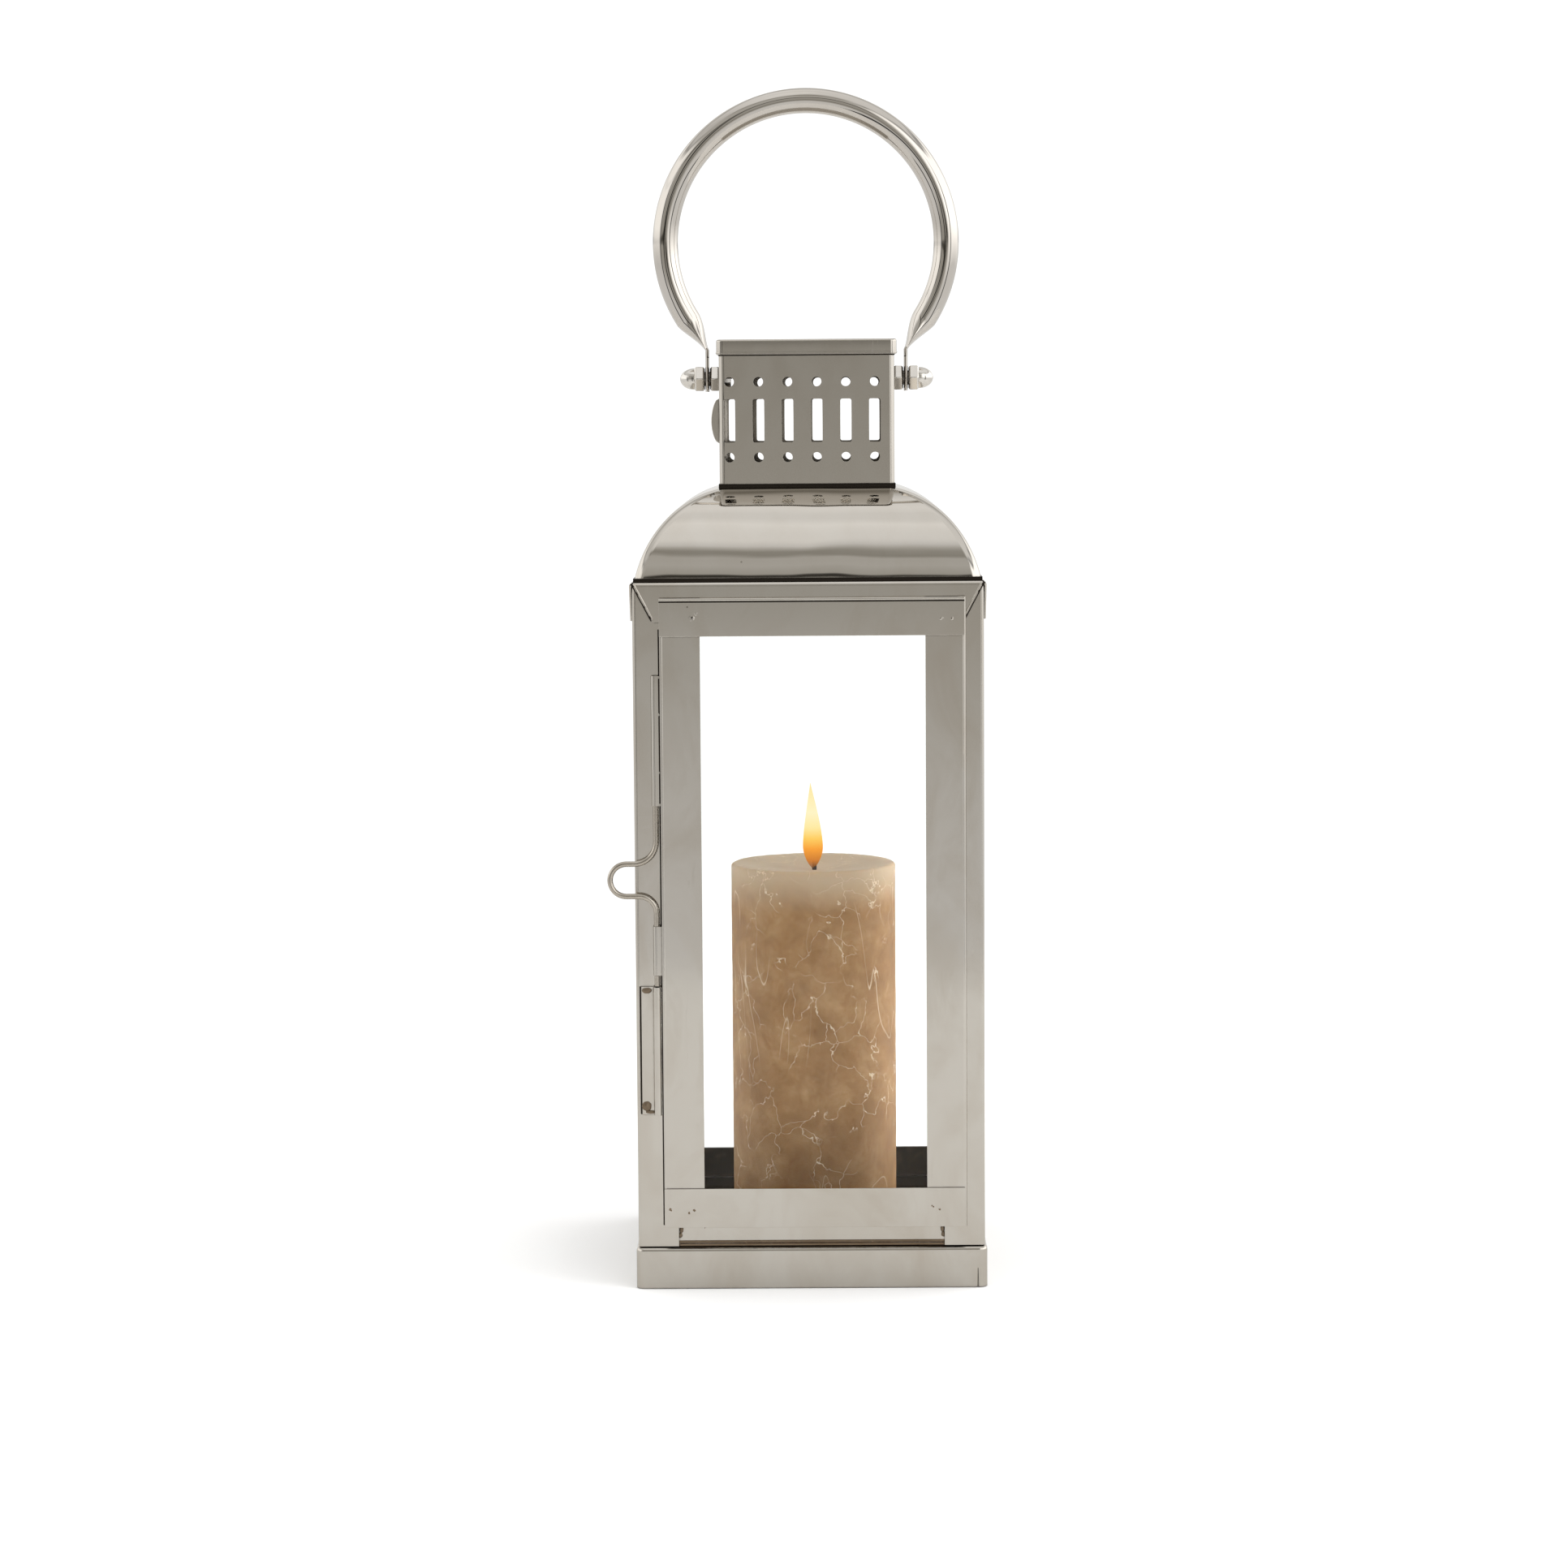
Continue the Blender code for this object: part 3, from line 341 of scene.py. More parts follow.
def make_handling():
    """Cloudy films where hands and cloths have been, and a scatter of tiny dark specks."""
    made, given, out = group("handling", {"Amount": 1.0}, {"Film": "Float", "Specks": "Float"})
    place = object_place(made)
    cloud = noise(made, place, 34, 5, 0.62, stretch=(1, 1, 0.55), distortion=0.9)
    wire_up(made, maths(made, "MULTIPLY", scaled(made, cloud, 0.42, 0.72), given[0]), out[0])
    cells = made.nodes.new("ShaderNodeTexVoronoi")
    cells.inputs["Scale"].default_value = 210
    cells.inputs["Randomness"].default_value = 1.0
    wire_up(made, place, cells.inputs["Vector"])
    dot = scaled(made, cells.outputs["Distance"], 0.05, 0.11, 1.0, 0.0)
    few = scaled(made, noise(made, place, 60, 2), 0.66, 0.70)
    wire_up(made, maths(made, "MULTIPLY", maths(made, "MULTIPLY", dot, few, clamp=True), given[0]), out[1])
    return made


def make_seam_grime_and_shade():
    """Dark polish and dust in corners and seams, together with painted shade: ambient occlusion darkens the
    colour wherever the surface is hollow.
    """
    made, given, out = group("seam_grime_and_shade", {"Reach": 1.2 * MM}, {"Grime": "Float"})
    hollow = made.nodes.new("ShaderNodeAmbientOcclusion")
    hollow.samples = 6
    wire_up(made, given[0], hollow.inputs["Distance"])
    rough_edge = scaled(made, noise(made, object_place(made), 420, 3), 0.3, 0.7, 0.6, 1.3)
    # Ambient occlusion finds the hollows, and the mask it gives is painted shade there, with a little dirt.
    shade = scaled(made, hollow.outputs["AO"], 0.35, 0.85, 1.0, 0.0)
    wire_up(made, maths(made, "MULTIPLY", shade, rough_edge, clamp=True), out[0])
    return made


WAVES, POLISH, HANDLING, GRIME_AND_SHADE = make_waves(), make_polish(), make_handling(), make_seam_grime_and_shade()
print("node groups:", [g.name for g in (WAVES, POLISH, HANDLING, GRIME_AND_SHADE)])

# %% [markdown]
# The metals. Warm grey nickel-like steel for the sheets, a brighter one for nuts and screws, and a duller,
# slightly brown one for the drawn wire. The Principled shader is in each material, and the groups only give
# it masks and heights. Every metal darkens in its corners and seams, partly dust and partly painted shade.
# Weld scale, the aged floor plate with the painted shade inside the rails, and the painted shade in the seams
# are the same recipe with dark colours.

# %% Metals
def use(tree, made, **values):
    """Places a node group with its own values; an underscore stands for a space."""
    node = tree.nodes.new("ShaderNodeGroup")
    node.node_tree = made
    for title, value in values.items():
        node.inputs[title.replace("_", " ")].default_value = value
    return node.outputs


def bumped(tree, height, distance, normal=None, strength=1.0):
    node = tree.nodes.new("ShaderNodeBump")
    node.inputs["Distance"].default_value = distance
    node.inputs["Strength"].default_value = strength
    wire_up(tree, height, node.inputs["Height"])
    if normal:
        wire_up(tree, normal, node.inputs["Normal"])
    return node.outputs[0]


FILM_TINT = (0.90, 0.875, 0.84)
# The second colour is the one that hollows darken to: partly dust, partly painted shade.
SPECK, DIRT_AND_SHADE = (0.10, 0.08, 0.06), (0.055, 0.045, 0.035)


def metal(name, colour, roughness, waves=22.0, wave_depth=0.05, upright=1.0, lines=0.0006, films=1.0,
          grime=0.8):
    """Waves are per metre, and the depths of the waves and the polishing lines are in millimetres."""
    made, tree, shader = fresh_material(name)
    shader.inputs["Metallic"].default_value = 1.0
    polish = use(tree, POLISH, Upright=upright)
    marks = use(tree, HANDLING, Amount=films)
    dirt_and_shade = use(tree, GRIME_AND_SHADE)[0]
    dull = tuple(c * k for c, k in zip(colour, FILM_TINT))
    tint = mixed(tree, marks["Film"], colour, dull)
    tint = mixed(tree, marks["Specks"], tint, SPECK)
    # Hollows darken towards a near-black brown: partly dust, partly painted shade.
    tint = mixed(tree, maths(tree, "MULTIPLY", dirt_and_shade, grime), tint, DIRT_AND_SHADE)
    wire_up(tree, tint, shader.inputs["Base Color"])
    rough = maths(tree, "MULTIPLY_ADD", marks["Film"], 0.07, roughness)
    rough = maths(tree, "MULTIPLY_ADD", polish["Scratches"], 0.12, rough)
    rough = maths(tree, "MULTIPLY_ADD", dirt_and_shade, 0.3, rough)
    wire_up(tree, rough, shader.inputs["Roughness"])
    slow = bumped(tree, use(tree, WAVES, Waves_per_metre=waves)[0], wave_depth * MM)
    wire_up(tree, bumped(tree, polish["Height"], lines * MM, slow), shader.inputs["Normal"])
    return made


SHEET_COLOUR, SHEET_ROUGHNESS = (0.490, 0.462, 0.418), 0.085
STEEL = metal("polished_sheet", SHEET_COLOUR, SHEET_ROUGHNESS)
STEEL_ACROSS = metal("polished_sheet_across", SHEET_COLOUR, SHEET_ROUGHNESS, upright=0.0)
ROOF = metal("spun_roof", (0.505, 0.475, 0.430), 0.025, waves=15, wave_depth=2.0, upright=0.0, lines=0.0003,
             films=0.5)
CHIMNEY = metal("chimney_sheet", (0.485, 0.455, 0.41), 0.10, waves=30, wave_depth=0.03, upright=0.0,
                films=0.5)
TUBE = metal("handle_tube", (0.50, 0.47, 0.43), 0.02, waves=12, wave_depth=0.008, films=0.4, lines=0.0002,
             grime=0.0)
BRIGHT = metal("bright_nuts", (0.60, 0.575, 0.535), 0.12, waves=120, wave_depth=0.01, films=0.8)
WIRE = metal("drawn_wire", (0.42, 0.385, 0.335), 0.20, waves=160, wave_depth=0.02, lines=0.003)
WELD = metal("weld_scale", (0.20, 0.155, 0.11), 0.42, waves=1500, wave_depth=0.10, films=1.5, lines=0.004,
             grime=1.0)
# A dark metal: the aged colour of the floor plate, and also the sheet of painted shade inside the rails.
AGED_AND_SHADED = metal("aged_and_shaded_sheet", (0.17, 0.125, 0.085), 0.16, upright=0.0, films=1.6)
# A near-black metal for the strips of painted shade that are laid in the joints.
SEAM_SHADE = metal("seam_shade", (0.022, 0.018, 0.014), 0.45, films=0.0, lines=0.004)
print("metals:", [m.name for m in (STEEL, STEEL_ACROSS, AGED_AND_SHADED, SEAM_SHADE, ROOF, CHIMNEY, TUBE, BRIGHT, WIRE, WELD)])

# %% [markdown]
# Window glass is a plain Principled shader at full transmission. Light from the lamps would be stopped by
# it, so shadow rays pass through a Transparent shader. The index of refraction is lower than that of real
# glass, so that the panes mirror less of the room. Real panes carry a few smears, which show as slightly
# rougher glass.

# %% Glass
GLASS, tree, pane = fresh_material("window_glass")
pane.inputs["Base Color"].default_value = (0.985, 0.995, 0.988, 1)
pane.inputs["Transmission Weight"].default_value = 1.0
pane.inputs["IOR"].default_value = 1.18
smears = use(tree, HANDLING, Amount=1.0)
wire_up(tree, scaled(tree, smears["Film"], 0.0, 1.0, 0.0, 0.003), pane.inputs["Roughness"])
through = tree.nodes.new("ShaderNodeBsdfTransparent")
through.inputs["Color"].default_value = (0.96, 0.97, 0.965, 1)
either = tree.nodes.new("ShaderNodeMixShader")
wire_up(tree, tree.nodes.new("ShaderNodeLightPath").outputs["Is Shadow Ray"], either.inputs[0])
wire_up(tree, pane.outputs[0], either.inputs[1])
wire_up(tree, through.outputs[0], either.inputs[2])
wire_up(tree, either.outputs[0], tree.nodes["Material Output"].inputs["Surface"])
print("glass at index", pane.inputs["IOR"].default_value)

# %% [markdown]
# Pillar candle wax is mottled, and it is lighter and greyer near the rim, where heat has gone through it.
# Its side shows pale hairline cracks and rubbed scratches. Light enters wax a few millimetres, so the
# shader has subsurface scattering, and the colour, cracks and height come from noise.

# %% Wax, wick and flame
CANDLE_LOW, CANDLE_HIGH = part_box("candle")
WAX, tree, shader = fresh_material("pillar_wax", 0.48)
place = object_place(tree)
z = tree.nodes.new("ShaderNodeSeparateXYZ")
wire_up(tree, place, z.inputs[0])
mottle = noise(tree, place, 60, 9, 0.74, distortion=0.3)
body = ramp(tree, mottle, (0.28, (0.215, 0.106, 0.040)), (0.5, (0.345, 0.192, 0.084)),
            (0.74, (0.500, 0.325, 0.170)))
uneven = maths(tree, "MULTIPLY_ADD", noise(tree, place, 30, 3), 0.008, z.outputs[2])
# The lowest five centimetres of wax darken towards the floor plate: painted shade at the candle's foot, low
# in the body.
shaded_foot = scaled(tree, z.outputs[2], CANDLE_LOW.z, CANDLE_LOW.z + 0.05, 0.30, 0.0)
body = mixed(tree, shaded_foot, body, (0.12, 0.055, 0.020))
near_rim = scaled(tree, uneven, CANDLE_HIGH.z - 0.014, CANDLE_HIGH.z + 0.001)
body = mixed(tree, near_rim, body, (0.520, 0.395, 0.270))
cells = tree.nodes.new("ShaderNodeTexVoronoi")
cells.feature = "DISTANCE_TO_EDGE"
cells.inputs["Scale"].default_value = 62
warp = tree.nodes.new("ShaderNodeTexNoise")
warp.inputs["Scale"].default_value = 70
warp.inputs["Detail"].default_value = 4
bent = tree.nodes.new("ShaderNodeVectorMath")
bent.operation = "MULTIPLY_ADD"
wire_up(tree, place, warp.inputs["Vector"])
wire_up(tree, warp.outputs["Color"], bent.inputs[0])
bent.inputs[1].default_value = (0.022, 0.022, 0.03)
wire_up(tree, place, bent.inputs[2])
wire_up(tree, bent.outputs[0], cells.inputs["Vector"])
crack = scaled(tree, cells.outputs["Distance"], 0.001, 0.011, 1.0, 0.0)
crack_zone = scaled(tree, noise(tree, place, 34, 3, 0.6), 0.47, 0.54)
crack = maths(tree, "MULTIPLY", crack, crack_zone, clamp=True)
long_scratch = noise(tree, place, 42, 1.5, 0.5, stretch=(1.0, 1.0, 0.22), distortion=0.8)
off_line = maths(tree, "ABSOLUTE", maths(tree, "SUBTRACT", long_scratch, 0.47))
scratch = scaled(tree, off_line, 0.0, 0.0035, 1.0, 0.0)
scratch = maths(tree, "MULTIPLY", scratch, scaled(tree, noise(tree, place, 19, 2), 0.44, 0.54), clamp=True)
marks = maths(tree, "MAXIMUM", crack, maths(tree, "MULTIPLY", scratch, 0.85))
bloom = scaled(tree, noise(tree, place, 17, 4, 0.7, distortion=1.0), 0.55, 0.78, 0.0, 0.35)
body = mixed(tree, bloom, body, (0.52, 0.37, 0.23))
wire_up(tree, mixed(tree, marks, body, (0.76, 0.62, 0.46)), shader.inputs["Base Color"])
wire_up(tree, scaled(tree, mottle, 0.3, 0.7, 0.40, 0.60), shader.inputs["Roughness"])
shader.inputs["Subsurface Weight"].default_value = 0.35
shader.inputs["Subsurface Radius"].default_value = (0.012, 0.006, 0.003)
shader.inputs["Subsurface Scale"].default_value = 0.6
shader.inputs["Specular IOR Level"].default_value = 0.22
pits = noise(tree, place, 520, 3, 0.6)
soft = bumped(tree, noise(tree, place, 60, 4, 0.55), 0.5 * MM)
fine = bumped(tree, pits, 0.06 * MM, soft)
wire_up(tree, bumped(tree, marks, -0.12 * MM, fine), shader.inputs["Normal"])

WICK, tree, shader = fresh_material("charred_wick", 0.85)
place = object_place(tree)
char = ramp(tree, noise(tree, place, 900, 4), (0.35, (0.012, 0.010, 0.009)), (0.7, (0.085, 0.06, 0.04)))
wire_up(tree, char, shader.inputs["Base Color"])
crust = noise(tree, place, 1400, 2, stretch=(1, 1, 0.4))
wire_up(tree, bumped(tree, crust, 0.25 * MM), shader.inputs["Normal"])

FLAME_FOOT = CANDLE_HIGH.z - 3.0 * MM
FLAME_TALL = 37.0 * MM
FLAME, tree, shader = fresh_material("candle_flame", 1.0)
z = tree.nodes.new("ShaderNodeSeparateXYZ")
wire_up(tree, object_place(tree), z.inputs[0])
rise = scaled(tree, z.outputs[2], FLAME_FOOT, FLAME_FOOT + FLAME_TALL)
glow = ramp(tree, rise, (0.0, (0.20, 0.09, 0.04)), (0.10, (0.62, 0.20, 0.03)), (0.24, (0.95, 0.36, 0.04)),
            (0.36, (1.0, 0.62, 0.12)), (0.48, (1.0, 0.82, 0.36)), (0.65, (1.0, 0.90, 0.56)),
            (1.0, (1.0, 0.80, 0.34)))
shader.inputs["Base Color"].default_value = (0, 0, 0, 1)
shader.inputs["Specular IOR Level"].default_value = 0.0
wire_up(tree, glow, shader.inputs["Emission Color"])
shader.inputs["Emission Strength"].default_value = 1.02
wire_up(tree, scaled(tree, rise, 0.0, 0.10, 0.55, 1.0), shader.inputs["Alpha"])
print("flame height", FLAME_TALL / MM, "mm")

# %% [markdown]
# A few habits make the modelling short. A primitive is added at its size and place, its place goes straight
# into its mesh, and edges or faces are then chosen by where they are. Sheet metal is made as a smith would:
# a flat blank, its edges folded over by extruding, the folds rounded, and the sheet given its thickness
# last.

# %% Modelling habits
def nothing_selected():
    if bpy.context.mode != "OBJECT":
        bpy.ops.object.mode_set(mode="OBJECT")
    bpy.ops.object.select_all(action="DESELECT")


def hold(obj):
    nothing_selected()
    obj.select_set(True)
    bpy.context.view_layer.objects.active = obj
    return obj


def placed(name):
    """Names the primitive just added, and puts its place, turn and size into its mesh."""
    obj = bpy.context.object
    obj.name = obj.data.name = name
    bpy.ops.object.transform_apply(location=True, rotation=True, scale=True)
    return obj


def slab(name, low, high):
    low, high = Vector(low), Vector(high)
    nothing_selected()
    bpy.ops.mesh.primitive_cube_add(size=1, location=(low + high) / 2)
    bpy.context.object.scale = high - low
    return placed(name)


def blank(name, low, high):
    """A flat sheet between two corners that share one coordinate. It faces down X or Y, or up."""
    low, high = Vector(low), Vector(high)
    size = high - low
    thin = min(range(3), key=lambda i: size[i])
    turn = ((0, -math.pi / 2, 0), (math.pi / 2, 0, 0), (0, 0, 0))[thin]
    across, along = ((size.z, size.y), (size.x, size.z), (size.x, size.y))[thin]
    nothing_selected()
    bpy.ops.mesh.primitive_plane_add(size=1, location=(low + high) / 2, rotation=turn)
    bpy.context.object.scale = (across, along, 1)
    return placed(name)


def ring(name, centre, radius, sides, fill="NOTHING", turn=(0, 0, 0)):
    nothing_selected()
    bpy.ops.mesh.primitive_circle_add(vertices=sides, radius=radius, fill_type=fill, location=centre,
                                      rotation=turn)
    return placed(name)


def pick(obj, kind, test):
    """In edit mode, selects the vertices, edges or faces whose middle, and normal or line, pass the test."""
    if bpy.context.mode == "OBJECT":
        hold(obj)
        bpy.ops.object.mode_set(mode="EDIT")
    bpy.ops.mesh.select_mode(type=kind)
    bpy.ops.mesh.select_all(action="DESELECT")
    bm = bmesh.from_edit_mesh(obj.data)
    chosen = 0
    for item in {"VERT": bm.verts, "EDGE": bm.edges, "FACE": bm.faces}[kind]:
        if kind == "VERT":
            middle, way = item.co, item.normal
        elif kind == "EDGE":
            middle = (item.verts[0].co + item.verts[1].co) / 2
            way = item.verts[1].co - item.verts[0].co
            way = way.normalized() if way.length else way
        else:
            middle, way = item.calc_center_median(), item.normal
        if test(middle, way):
            item.select_set(True)
            chosen += 1
    bm.select_flush_mode()
    bmesh.update_edit_mesh(obj.data)
    return chosen


def done(obj):
    bpy.ops.object.mode_set(mode="OBJECT")
    return obj


def done_closed(obj):
    """Turns every face outwards, and leaves edit mode."""
    bpy.ops.mesh.select_all(action="SELECT")
    bpy.ops.mesh.normals_make_consistent(inside=False)
    return done(obj)


def near(a, b, within=0.02 * MM):
    return abs(a - b) < within


def pull(x=0.0, y=0.0, z=0.0):
    """Extrudes what is selected."""
    bpy.ops.mesh.extrude_region_move(TRANSFORM_OT_translate={"value": (x, y, z)})


def grow(centre, scale):
    """Scales what is selected about a centre; scale is one number for all three axes, or three."""
    scale = (scale,) * 3 if isinstance(scale, (int, float)) else scale
    bpy.ops.transform.resize(value=scale, center_override=centre)


def round_off(radius, segments):
    """Rounds the selected edges."""
    bpy.ops.mesh.bevel(offset=radius, segments=segments, affect="EDGES")


def modify(obj, kind, **settings):
    """Adds a modifier and applies it."""
    hold(obj)
    modifier = obj.modifiers.new(kind.lower(), kind)
    for key, value in settings.items():
        setattr(modifier, key, value)
    bpy.ops.object.modifier_apply(modifier=modifier.name)
    return obj


def edged(obj, width, segments=2, angle=35):
    """Breaks every sharp edge and shades the piece smooth, keeping the flats flat."""
    modify(obj, "BEVEL", width=width, segments=segments, limit_method="ANGLE",
           angle_limit=math.radians(angle), use_clamp_overlap=True, miter_outer="MITER_ARC")
    hold(obj)
    bpy.ops.object.shade_smooth_by_angle(angle=math.radians(45))
    return modify(obj, "WEIGHTED_NORMAL", keep_sharp=True)


def roughened(obj, kind, size, depth, middle, **settings):
    """Pushes the surface in and out by a noise texture whose lumps have the given size."""
    lumps = bpy.data.textures.new(obj.name, kind)
    lumps.noise_scale = size
    return modify(obj, "DISPLACE", texture=lumps, strength=depth, mid_level=middle, texture_coords="LOCAL",
                  **settings)


def walled(obj, wall, offset=-1):
    """Gives a sheet its thickness: behind its face at -1, in front of it at 1."""
    return modify(obj, "SOLIDIFY", thickness=wall, offset=offset, use_even_offset=True)


def twin(obj, name):
    """A copy with its own mesh."""
    hold(obj)
    bpy.ops.object.duplicate(linked=False)
    made = bpy.context.object
    made.name = made.data.name = name
    return made


def discard(*pieces):
    for piece in pieces:
        bpy.data.objects.remove(piece, do_unlink=True)


def turned_about_z(obj, name, quarters):
    made = twin(obj, name)
    made.rotation_euler = (0, 0, quarters * math.pi / 2)
    bpy.ops.object.transform_apply(location=True, rotation=True, scale=True)
    return made


def joined(name, *pieces):
    hold(pieces[0])
    for piece in pieces[1:]:
        piece.select_set(True)
    if len(pieces) > 1:
        bpy.ops.object.join()
    pieces[0].name = pieces[0].data.name = name
    return pieces[0]


MADE = []


def hang(obj, body, slot, finish, *stands_for):
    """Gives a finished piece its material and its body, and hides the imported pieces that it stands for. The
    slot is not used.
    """
    obj.data.materials.clear()
    obj.data.materials.append(finish)
    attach(obj, body)
    if stands_for:
        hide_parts(*stands_for)
    MADE.append(obj.name)
    return obj


SIDES = ("front", "right", "rear", "left")
CORNERS = ("front_left", "front_right", "rear_right", "rear_left")


def hang_all_round(source, name, places, finish, packed=None):
    """Hangs a copy of the source on the frame at each quarter turn, and discards the source."""
    for quarters, place in enumerate(places):
        stands_for = [f"{packed}_{place}"] if packed else []
        hang(turned_about_z(source, f"{name}_{place}", quarters), "frame", "steel", finish, *stands_for)
    discard(source)


def span(obj, axis):
    """The lowest and highest coordinate of a piece along an axis, in millimetres."""
    along = [v.co[axis] for v in obj.data.vertices]
    return round(min(along) / MM, 2), round(max(along) / MM, 2)


def spans_beside(obj, low, high):
    """A piece's span along each axis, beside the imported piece's."""
    return [(span(obj, axis), (round(low[axis] / MM, 2), round(high[axis] / MM, 2))) for axis in range(3)]


print("ready to model")

# %% [markdown]
# The base is one folded tray. A solid block with its upright corners and top edge rounded gives the
# outside, and an inset face pushed down leaves the flange that the floor plate lies on. Near each corner
# the fold is open at the bottom, a small wedge-shaped slit that a Boolean modifier cuts.

# %% Base tray
low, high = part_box("base_tray")
HALF_BASE, BASE_TOP = high.x, high.z
SLIT_IN, SLIT_OUT, SLIT_TALL, SLIT_DEEP = 4.3 * MM, 3.6 * MM, 8 * MM, 0.6 * MM
base = slab("folded_base", low, high)
pick(base, "EDGE", lambda p, way: abs(way.z) > 0.9)
round_off(3.5 * MM, 6)
pick(base, "EDGE", lambda p, way: near(p.z, BASE_TOP) and abs(way.z) < 0.1)
round_off(1.7 * MM, 4)
pick(base, "FACE", lambda p, n: n.z > 0.99)
bpy.ops.mesh.inset(thickness=5.5 * MM)
pull(z=-6 * MM)
done(base)
slits = []
for quarters in range(4):
    slit = slab("fold_slit", (HALF_BASE - SLIT_IN, -HALF_BASE - MM, -MM),
                (HALF_BASE - SLIT_OUT, SLIT_DEEP - HALF_BASE, SLIT_TALL))
    pick(slit, "VERT", lambda p, n: p.z > SLIT_TALL - MM)
    grow((HALF_BASE - 4.0 * MM, -HALF_BASE, SLIT_TALL), (0.25, 1, 1))
    done(slit)
    slits.append(turned_about_z(slit, f"fold_slit_{quarters}", quarters))
    discard(slit)
cutter = joined("fold_slits", *slits)
modify(base, "BOOLEAN", operation="DIFFERENCE", object=cutter, solver="EXACT")
discard(cutter)
edged(base, 0.25 * MM, 2, 50)
hang(base, "frame", "steel", STEEL_ACROSS, "base_tray")
print("base", len(base.data.polygons), "faces")

# %% [markdown]
# Four angle-shaped posts stand on the base. One blank for the first flange, its edge folded back for the
# second, and a rounded fold between them: that fold is what draws the bright line down each corner. The
# other three posts are copies turned by quarters.

# %% Corner posts
SHEET = 0.8 * MM
low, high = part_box("corner_post_front_left")
post = blank("corner_post", low, (high.x, low.y, high.z))
pick(post, "EDGE", lambda p, way: near(p.x, low.x) and abs(way.z) > 0.9)
pull(y=high.y - low.y)
pick(post, "EDGE", lambda p, way: near(p.x, low.x) and near(p.y, low.y) and abs(way.z) > 0.9)
round_off(1.5 * MM, 8)
done(post)
walled(post, SHEET)
edged(post, 0.16 * MM)
hang_all_round(post, "folded_post", CORNERS, STEEL, "corner_post")
print("posts", MADE[-4:])

# %% [markdown]
# Low rails close the body between the posts. Each is a flat strip with broken edges. They were welded by
# hand, so a few small uneven beads of scale sit between a rail's end and the post.

# %% Bottom rails and their welds
def bead(name, place, size):
    """A small lump of weld metal: a ball pressed flat and made uneven by noise."""
    nothing_selected()
    bpy.ops.mesh.primitive_ico_sphere_add(subdivisions=3, radius=1, location=place)
    bpy.context.object.scale = size
    lump = roughened(placed(name), "CLOUDS", 0.9 * MM, 0.5 * MM, 0.5)
    hold(lump)
    bpy.ops.object.shade_smooth()
    return lump


low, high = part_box("bottom_rail_front")
rail = slab("rail", low, high)
edged(rail, 0.18 * MM)
hang_all_round(rail, "low_rail", SIDES, STEEL_ACROSS, "bottom_rail")
POST_EDGE = -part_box("corner_post_front_left")[1].x
# each bead: how far beyond the post's edge, how high on the rail, half width and half height, in millimetres
RAIL_BEADS = ((0.4, 2.3, 1.0, 1.1), (0.9, 4.6, 0.8, 1.5), (0.3, 7.4, 0.7, 0.9))
beads = []
for hand in (-1, 1):
    for k, (out, up, wide, tall) in enumerate(RAIL_BEADS):
        spot = (hand * (POST_EDGE - out * MM), low.y - 0.05 * MM, low.z + up * MM)
        beads.append(bead(f"bead_{hand}_{k}", spot, (wide * MM, 0.45 * MM, tall * MM)))
hang_all_round(joined("beads", *beads), "rail_welds", SIDES, WELD)
print("rails and weld beads", MADE[-4:])

# %% [markdown]
# A header runs round the top of the body. It is an upright strip whose top edge is folded in over a round
# bend, and it is mitred at the corners: the ends lean inwards as they go down and run back at 45 degrees.
# The strip is made too long, and the Bisect tool cuts both ends before the sheet gets its thickness.

# %% Headers
low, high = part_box("header_front")
face, top = low.y, high.z
MITRE_LEAN, MITRE_IN = 8.5 / 16, 0.8 * MM
header = blank("header", (-HALF_BASE - 2 * MM, face, low.z), (HALF_BASE + 2 * MM, face, top))
pick(header, "EDGE", lambda p, way: near(p.z, top) and abs(way.x) > 0.9)
pull(y=high.y - face)
pick(header, "EDGE", lambda p, way: near(p.z, top) and near(p.y, face) and abs(way.x) > 0.9)
round_off(1.8 * MM, 8)
for hand in (-1, 1):
    bpy.ops.mesh.select_mode(type="FACE")
    bpy.ops.mesh.select_all(action="SELECT")
    bpy.ops.mesh.bisect(plane_co=(hand * (-face - MITRE_IN), face, top), plane_no=(hand, 1, -MITRE_LEAN),
                        clear_outer=True)
done(header)
walled(header, SHEET)
edged(header, 0.14 * MM)
hang_all_round(header, "mitred_header", SIDES, STEEL_ACROSS, "header")
print("headers", MADE[-4:])

# %% [markdown]
# The roof is a square dome: each side follows part of an ellipse, steep at the eaves and flatter at the
# chimney. A square of edges is pulled up through small steps, and each step is scaled in. Then the four
# hips are rounded. The steps are small because a mirror finish shows every facet.

